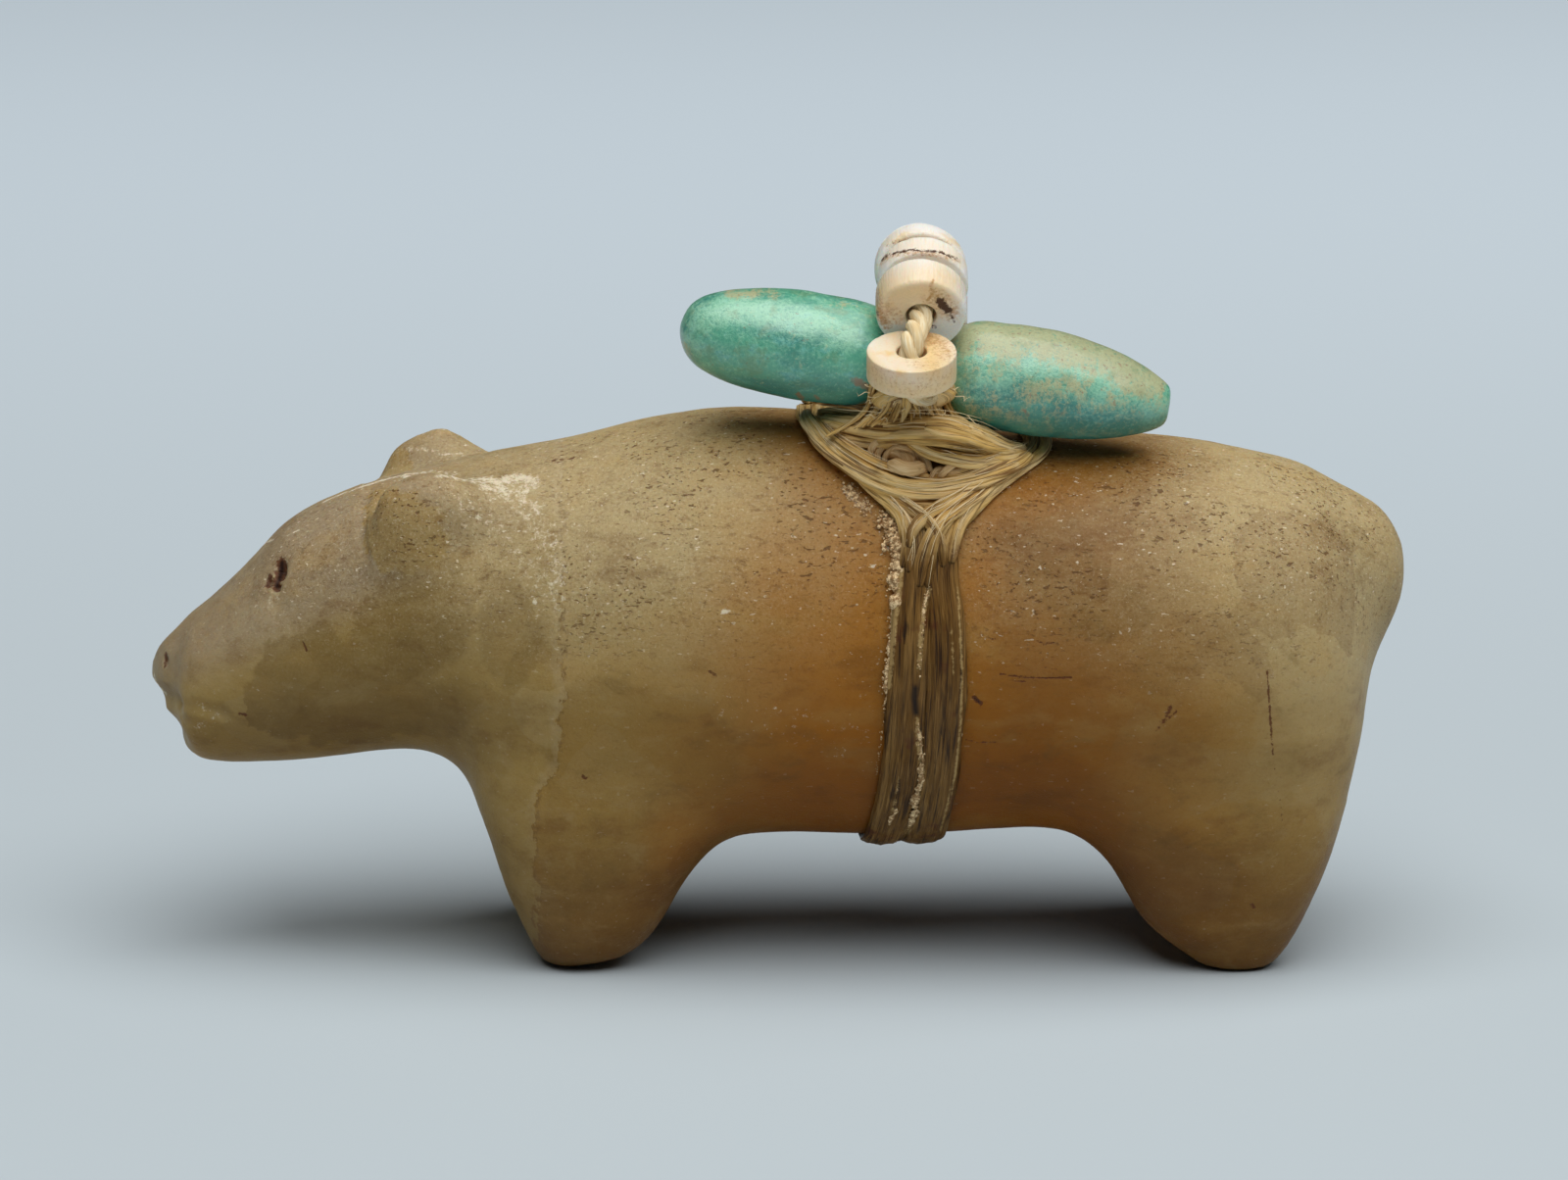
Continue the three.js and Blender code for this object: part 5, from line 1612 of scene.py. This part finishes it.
# %% Turning a bead
BORE_RADIUS = 1.05
BORE_ROUNDING = 0.16
ROUNDING_STEPS = 6
PROFILE_STEP = 0.2
DOMED_FROM = 2.4
BEAD_SPIN = 96
BEAD_STAINS = {
    0: {
        "cream": [
            ([(930, 350), (930, 352)], 7.0, 0.72),
            ([(948, 345), (952, 378)], 4.4, 1.0),
            ([(885, 372), (900, 392), (930, 402), (960, 396), (974, 378)], 3.0, 0.9),
        ],
        "ochre": [
            ([(950, 343), (966, 358)], 3.0, 0.66),
            ([(930, 368), (955, 374)], 1.6, 0.50),
            ([(934, 357), (936, 359)], 0.8, 0.95),
            ([(888, 378), (930, 400), (972, 382)], 2.2, 0.46),
        ],
        "brown": [
            ([(934, 357), (937, 358)], 0.35, 0.8),
            ([(915, 402), (945, 402)], 0.3, 0.35),
        ],
    },
    1: {
        "cream": [
            ([(905, 300), (955, 295)], 4.4, 0.85),
            ([(895, 290), (930, 272), (970, 288)], 1.4, 0.40),
        ],
        "ochre": [
            ([(893, 300), (897, 318), (904, 330)], 1.3, 0.84),
            ([(905, 312), (916, 324)], 1.6, 0.62),
            ([(942, 305), (950, 322)], 1.2, 0.55),
            ([(956, 305), (970, 318)], 2.0, 0.80),
            ([(952, 286), (949, 292), (953, 298), (947, 306)], 0.35, 1.0),
        ],
        "brown": [
            ([(959, 308), (967, 316)], 0.9, 1.0),
            ([(970, 322), (974, 328)], 0.4, 0.7),
            ([(893, 316), (897, 322)], 0.4, 0.6),
            ([(946, 331), (954, 334)], 0.5, 0.6),
        ],
    },
    2: {
        "cream": [([(895, 262), (930, 250), (980, 262)], 2.0, 0.35)],
        "ochre": [([(895, 270), (905, 262), (930, 257), (960, 259), (978, 266)], 0.7, 0.75)],
        "brown": [([(897, 268), (905, 260), (930, 255), (958, 257), (976, 264)], 0.35, 0.75)],
    },
    3: {
        "cream": [([(905, 246), (930, 241), (965, 246)], 1.2, 0.35)],
        "ochre": [([(903, 250), (930, 243), (970, 250)], 0.6, 0.55)],
        "brown": [([(905, 250), (925, 245), (955, 246)], 0.25, 0.55)],
    },
}


def bead_profile(half, edge, crown):
    """Half the disc's cut face: from the hole out over the rim and back, with rounded edges."""
    corners = [(BORE_RADIUS, -half, BORE_ROUNDING), (BEAD_RADIUS, -half, edge), (BEAD_RADIUS, half, edge),
               (BORE_RADIUS, half, BORE_ROUNDING)]
    places = []
    for k, (radius, height, rounding) in enumerate(corners):
        start = math.radians((180, 270, 0, 90)[k])
        middle = Vector((radius - rounding * (1 if k in (1, 2) else -1),
                         height - rounding * (1 if k in (2, 3) else -1)))
        for step in range(ROUNDING_STEPS + 1):
            turn = start + math.radians(90) * step / ROUNDING_STEPS
            places.append(middle + Vector((math.cos(turn), math.sin(turn))) * rounding)
    fine = []
    for start, end in zip(places, places[1:] + places[:1]):
        pieces = max(1, round((end - start).length / PROFILE_STEP))
        fine += [start.lerp(end, share / pieces) for share in range(pieces)]
    bulge = [crown * max(0.0, 1 - (place.y / half) ** 2) if place.x > DOMED_FROM else 0.0 for place in fine]
    return [Vector((place.x + rise, place.y)) for place, rise in zip(fine, bulge)]


def shell_bead(k, finish, edge, crown, ring_ridges):
    """A bead in its place: spun, worn by noise and painted with its stains."""
    half = BEAD_THICKNESSES[k] / 2
    bm = bmesh.new()
    profile = [bm.verts.new((place.x * MM, 0, place.y * MM)) for place in bead_profile(half, edge, crown)]
    rim = [bm.edges.new(pair) for pair in zip(profile, profile[1:] + profile[:1])]
    bmesh.ops.spin(bm, geom=profile + rim, cent=(0, 0, 0), axis=(0, 0, 1), angle=2 * math.pi,
                   steps=BEAD_SPIN, use_merge=True)
    bmesh.ops.remove_doubles(bm, verts=bm.verts, dist=1e-4 * MM)
    bmesh.ops.recalc_face_normals(bm, faces=bm.faces)
    turned = bm.verts.layers.float_vector.new("turned")
    for vert in bm.verts:
        place = vert.co / MM
        radius = math.hypot(place.x, place.y)
        angle = math.atan2(place.y, place.x)
        outer = min(1, max(0, (radius - BORE_RADIUS - 0.3) / 1.2))
        vert[turned] = (math.cos(angle) * radius + k * 9, math.sin(angle) * radius, place.z)
        ground = noise.noise(Vector((math.cos(angle) * 0.9, math.sin(angle) * 0.9, k * 4.1))) * 0.09
        nick = noise.noise(place * 1.3 + Vector((k * 6.0, 0, 0)))
        nick = -0.22 * max(0, nick - 0.28) * (abs(place.z) / half) ** 2
        grain = Vector((math.cos(angle) * 14, math.sin(angle) * 14, place.z * 0.5))
        lines = ring_ridges * noise.noise(grain)
        vert.co *= 1 + (ground + nick + lines * 0.1 - 0.03) * outer / max(radius, 1)
    toward = across_direction(BEAD_AXES[k])
    turn = Vector((0, 0, 1)).rotation_difference(toward).to_matrix()
    bmesh.ops.rotate(bm, verts=bm.verts, cent=(0, 0, 0), matrix=turn)
    bmesh.ops.translate(bm, verts=bm.verts, vec=bead_centres[k] * MM)
    piece = object_of("bead_%d" % (k + 1), bm, finish)
    paint_lines(piece, BEAD_STAINS.get(k, {}))
    belongs(piece, BEAD_NODES[k])


BEADS = [
    # the finish, how round its edge is, how domed its rim and how deep its ridges
    (worn_shell, 0.10, 0.0, 0.10),
    (glossy_shell, 0.32, 0.05, 0.0),
    (ridged_shell, 0.16, 0.04, 0.35),
    (ridged_shell, 0.28, 0.08, 0.25),
    (worn_shell, 0.16, 0.0, 0.15),
    (worn_shell, 0.10, 0.0, 0.10),
]
for k, kind in enumerate(BEADS):
    shell_bead(k, *kind)
print("beads turned", len(BEAD_NODES))

# %% [markdown]
# The two offerings are turquoise pebbles, ground smooth: blue-green where they are clean, tan where the
# mother rock shows, with a satin polish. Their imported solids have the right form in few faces, so copies
# are subdivided, and noise gives them the hand-ground unevenness.

# %% The turquoise's finish
TURQUOISE_TEAL = (0.010, 0.235, 0.190)
TURQUOISE_GREEN = (0.095, 0.440, 0.270)
TURQUOISE_BLUE = (0.020, 0.390, 0.400)
TURQUOISE_MINT = (0.44, 0.83, 0.55)
TURQUOISE_TAN = (0.52, 0.46, 0.22)
TURQUOISE_OLIVE = (0.16, 0.27, 0.105)
MATRIX_BROWN = (0.30, 0.17, 0.085)


def turquoise_finish(name, pale, tan, blue, seed):
    """Turquoise: how much of it is pale mint and painted sheen, how much is tan rock and how much is blue.
    """
    finish = Finish(name, Specular_IOR_Level=0.95, Coat_Weight=0.5, Coat_Roughness=0.18)
    drawn = finish.warped(3.0, 1.6, at=finish.shifted(seed))
    drawn = finish.vector("MULTIPLY", drawn, (0.55, 1.0, 1.0))
    broad = finish.noise(3.0, 4.0, 0.6, at=drawn)
    cloud = finish.noise(1.2, 5.0, 0.7, at=drawn)
    grit = finish.noise(0.24, 4.0, 0.75, at=finish.shifted(seed + 3))
    top = finish.painted("top")
    speckle = grit * 0.6 + cloud * 1.0
    # Mint where the stone clouds pale, and painted sheen: the lines painted as worn and the upper side stand
    # for the light above reflected in the polish.
    worn = finish.eased(finish.painted("worn") * 0.36 + top * 0.16 + speckle + pale, 0.82, 1.34)
    tone = finish.noise(1.5, 6.0, 0.8, at=finish.stretched(0.6, 1.0, 1.0, at=finish.shifted(seed + 5)))
    rock = finish.eased(finish.painted("rock") * 0.42 + tone * 1.3 + grit * 0.7 + tan, 1.12, 1.42)
    spots = finish.noise(0.42, 4.0, 0.7, at=finish.shifted(seed + 7)) + rock * 0.05
    stains = finish.noise(2.4, 4.0, 0.7, at=finish.shifted(seed + 11))
    matrix = finish.painted("matrix") + (tone - 0.5) * 1.4
    colour = finish.layered(
        TURQUOISE_TEAL,
        (finish.eased(broad + top * 0.25, 0.46, 0.74), TURQUOISE_GREEN),
        (finish.eased(cloud - top * 0.06, 0.50, 0.62) * blue, TURQUOISE_BLUE),
        # pale mint, partly painted sheen
        (worn * 0.66, TURQUOISE_MINT),
        (rock * 0.8, TURQUOISE_TAN),
        (finish.eased(spots, 0.635, 0.70) * 0.7, MATRIX_BROWN),
        (finish.eased(stains, 0.54, 0.68) * 0.45, TURQUOISE_OLIVE),
        # painted shade: darker teal on the lower side
        (finish.eased(top, 0.42, 0.12) * 0.6, TURQUOISE_TEAL),
        (finish.eased(grit, 0.48, 0.34) * 0.34, TURQUOISE_TEAL),
        (finish.eased(grit, 0.54, 0.68) * 0.26, TURQUOISE_MINT),
        (finish.eased(matrix, 0.40, 0.70) * 0.85, MATRIX_BROWN),
    )
    finish.set("Base Color", colour)
    finish.set("Roughness", 0.30 + rock * 0.2 + finish.eased(grit, 0.42, 0.68) * 0.2)
    finish.set("Normal", finish.bump(grit * 0.65 + cloud * 0.35, 0.10))
    return finish


front_turquoise = turquoise_finish("turquoise_clear", 0.04, 0.0, 0.75, 2.0)
rear_turquoise = turquoise_finish("turquoise_mottled", 0.02, 0.17, 0.45, 14.0)

# %% The pebbles
PEBBLE_VOXEL = 0.22
PEBBLE_MARKS = {
    "turquoise_front": {
        "matrix": [
            ([(872, 388), (888, 396), (896, 405)], 0.9, 0.9),
            ([(814, 402), (818, 407)], 0.6, 0.8),
            ([(832, 404), (836, 408)], 0.5, 0.7),
            ([(893, 404), (898, 412)], 0.8, 0.8),
        ],
        # the worn lines: painted sheen where the light above reflects off the polish
        "worn": [
            ([(712, 325), (750, 316), (800, 322), (865, 345)], 2.4, 0.8),
            ([(700, 345), (720, 372)], 1.6, 0.5),
        ],
        "rock": [
            ([(745, 299), (790, 298)], 1.3, 0.8),
            ([(698, 350), (706, 366)], 0.8, 0.5),
            ([(850, 306), (885, 318)], 1.4, 0.5),
        ],
    },
    "turquoise_rear": {
        "matrix": [
            ([(1045, 418), (1049, 424)], 0.4, 0.7),
            ([(1110, 372), (1125, 378)], 0.5, 0.5),
            ([(1150, 385), (1170, 392)], 0.5, 0.5),
            ([(1000, 345), (1040, 352)], 0.4, 0.4),
        ],
        # the worn lines: painted sheen along the upper face and on the bright end facet
        "worn": [
            ([(980, 388), (1060, 376), (1130, 398), (1186, 422)], 3.4, 0.8),
            ([(1172, 395), (1190, 425), (1180, 440)], 2.6, 1.0),
            ([(985, 345), (985, 400)], 1.6, 0.6),
        ],
        "rock": [
            ([(990, 342), (1060, 345), (1120, 362), (1170, 388)], 3.2, 0.85),
            ([(1050, 400), (1100, 395)], 2.0, 0.4),
        ],
    },
}
BLUNT_REACH = 4.0
BLUNTER = {"turquoise_front": 0.0, "turquoise_rear": 0.16}
LONGER = {"turquoise_front": 0.0, "turquoise_rear": 0.9}
PEBBLE_SMOOTHINGS = 8


def pebble(node, name, finish, seed):
    """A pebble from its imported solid, finer and a little uneven."""
    piece = refined(name, merged_copy(node), PEBBLE_VOXEL, PEBBLE_SMOOTHINGS)
    piece.data.materials.clear()
    piece.data.materials.append(finish.material)
    points = points_of(piece.data)
    outs = outs_of(piece.data)
    worn = 0.10 * lumps(points, 4.0, seed) + 0.035 * lumps(points, 1.4, seed + 3)
    points += outs * (worn - 0.02)[:, None]
    slope = np.polyfit(points[:, 0], points[:, 2], 1)
    middles = np.full(len(points), points[:, 1].mean())
    axis = np.column_stack([points[:, 0], middles, np.polyval(slope, points[:, 0])])
    inner_end = eased(np.clip(1 - (points[:, 0] - points[:, 0].min()) / BLUNT_REACH, 0, 1))
    points += (points - axis) * (BLUNTER[node] * inner_end)[:, None]
    points[:, 0] -= LONGER[node] * inner_end
    move_points(piece.data, points)
    low, high = points.min(axis=0), points.max(axis=0)
    paint(piece.data, "top", (points[:, 2] - low[2]) / (high[2] - low[2]))
    paint_lines(piece, PEBBLE_MARKS[node])
    belongs(piece, node)


pebble("turquoise_front", "pebble_front", front_turquoise, 2.0)
pebble("turquoise_rear", "pebble_rear", rear_turquoise, 5.0)

# %% Size and close
low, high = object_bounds()
print("visual box in millimetres", [round(side / MM, 1) for side in high - low])
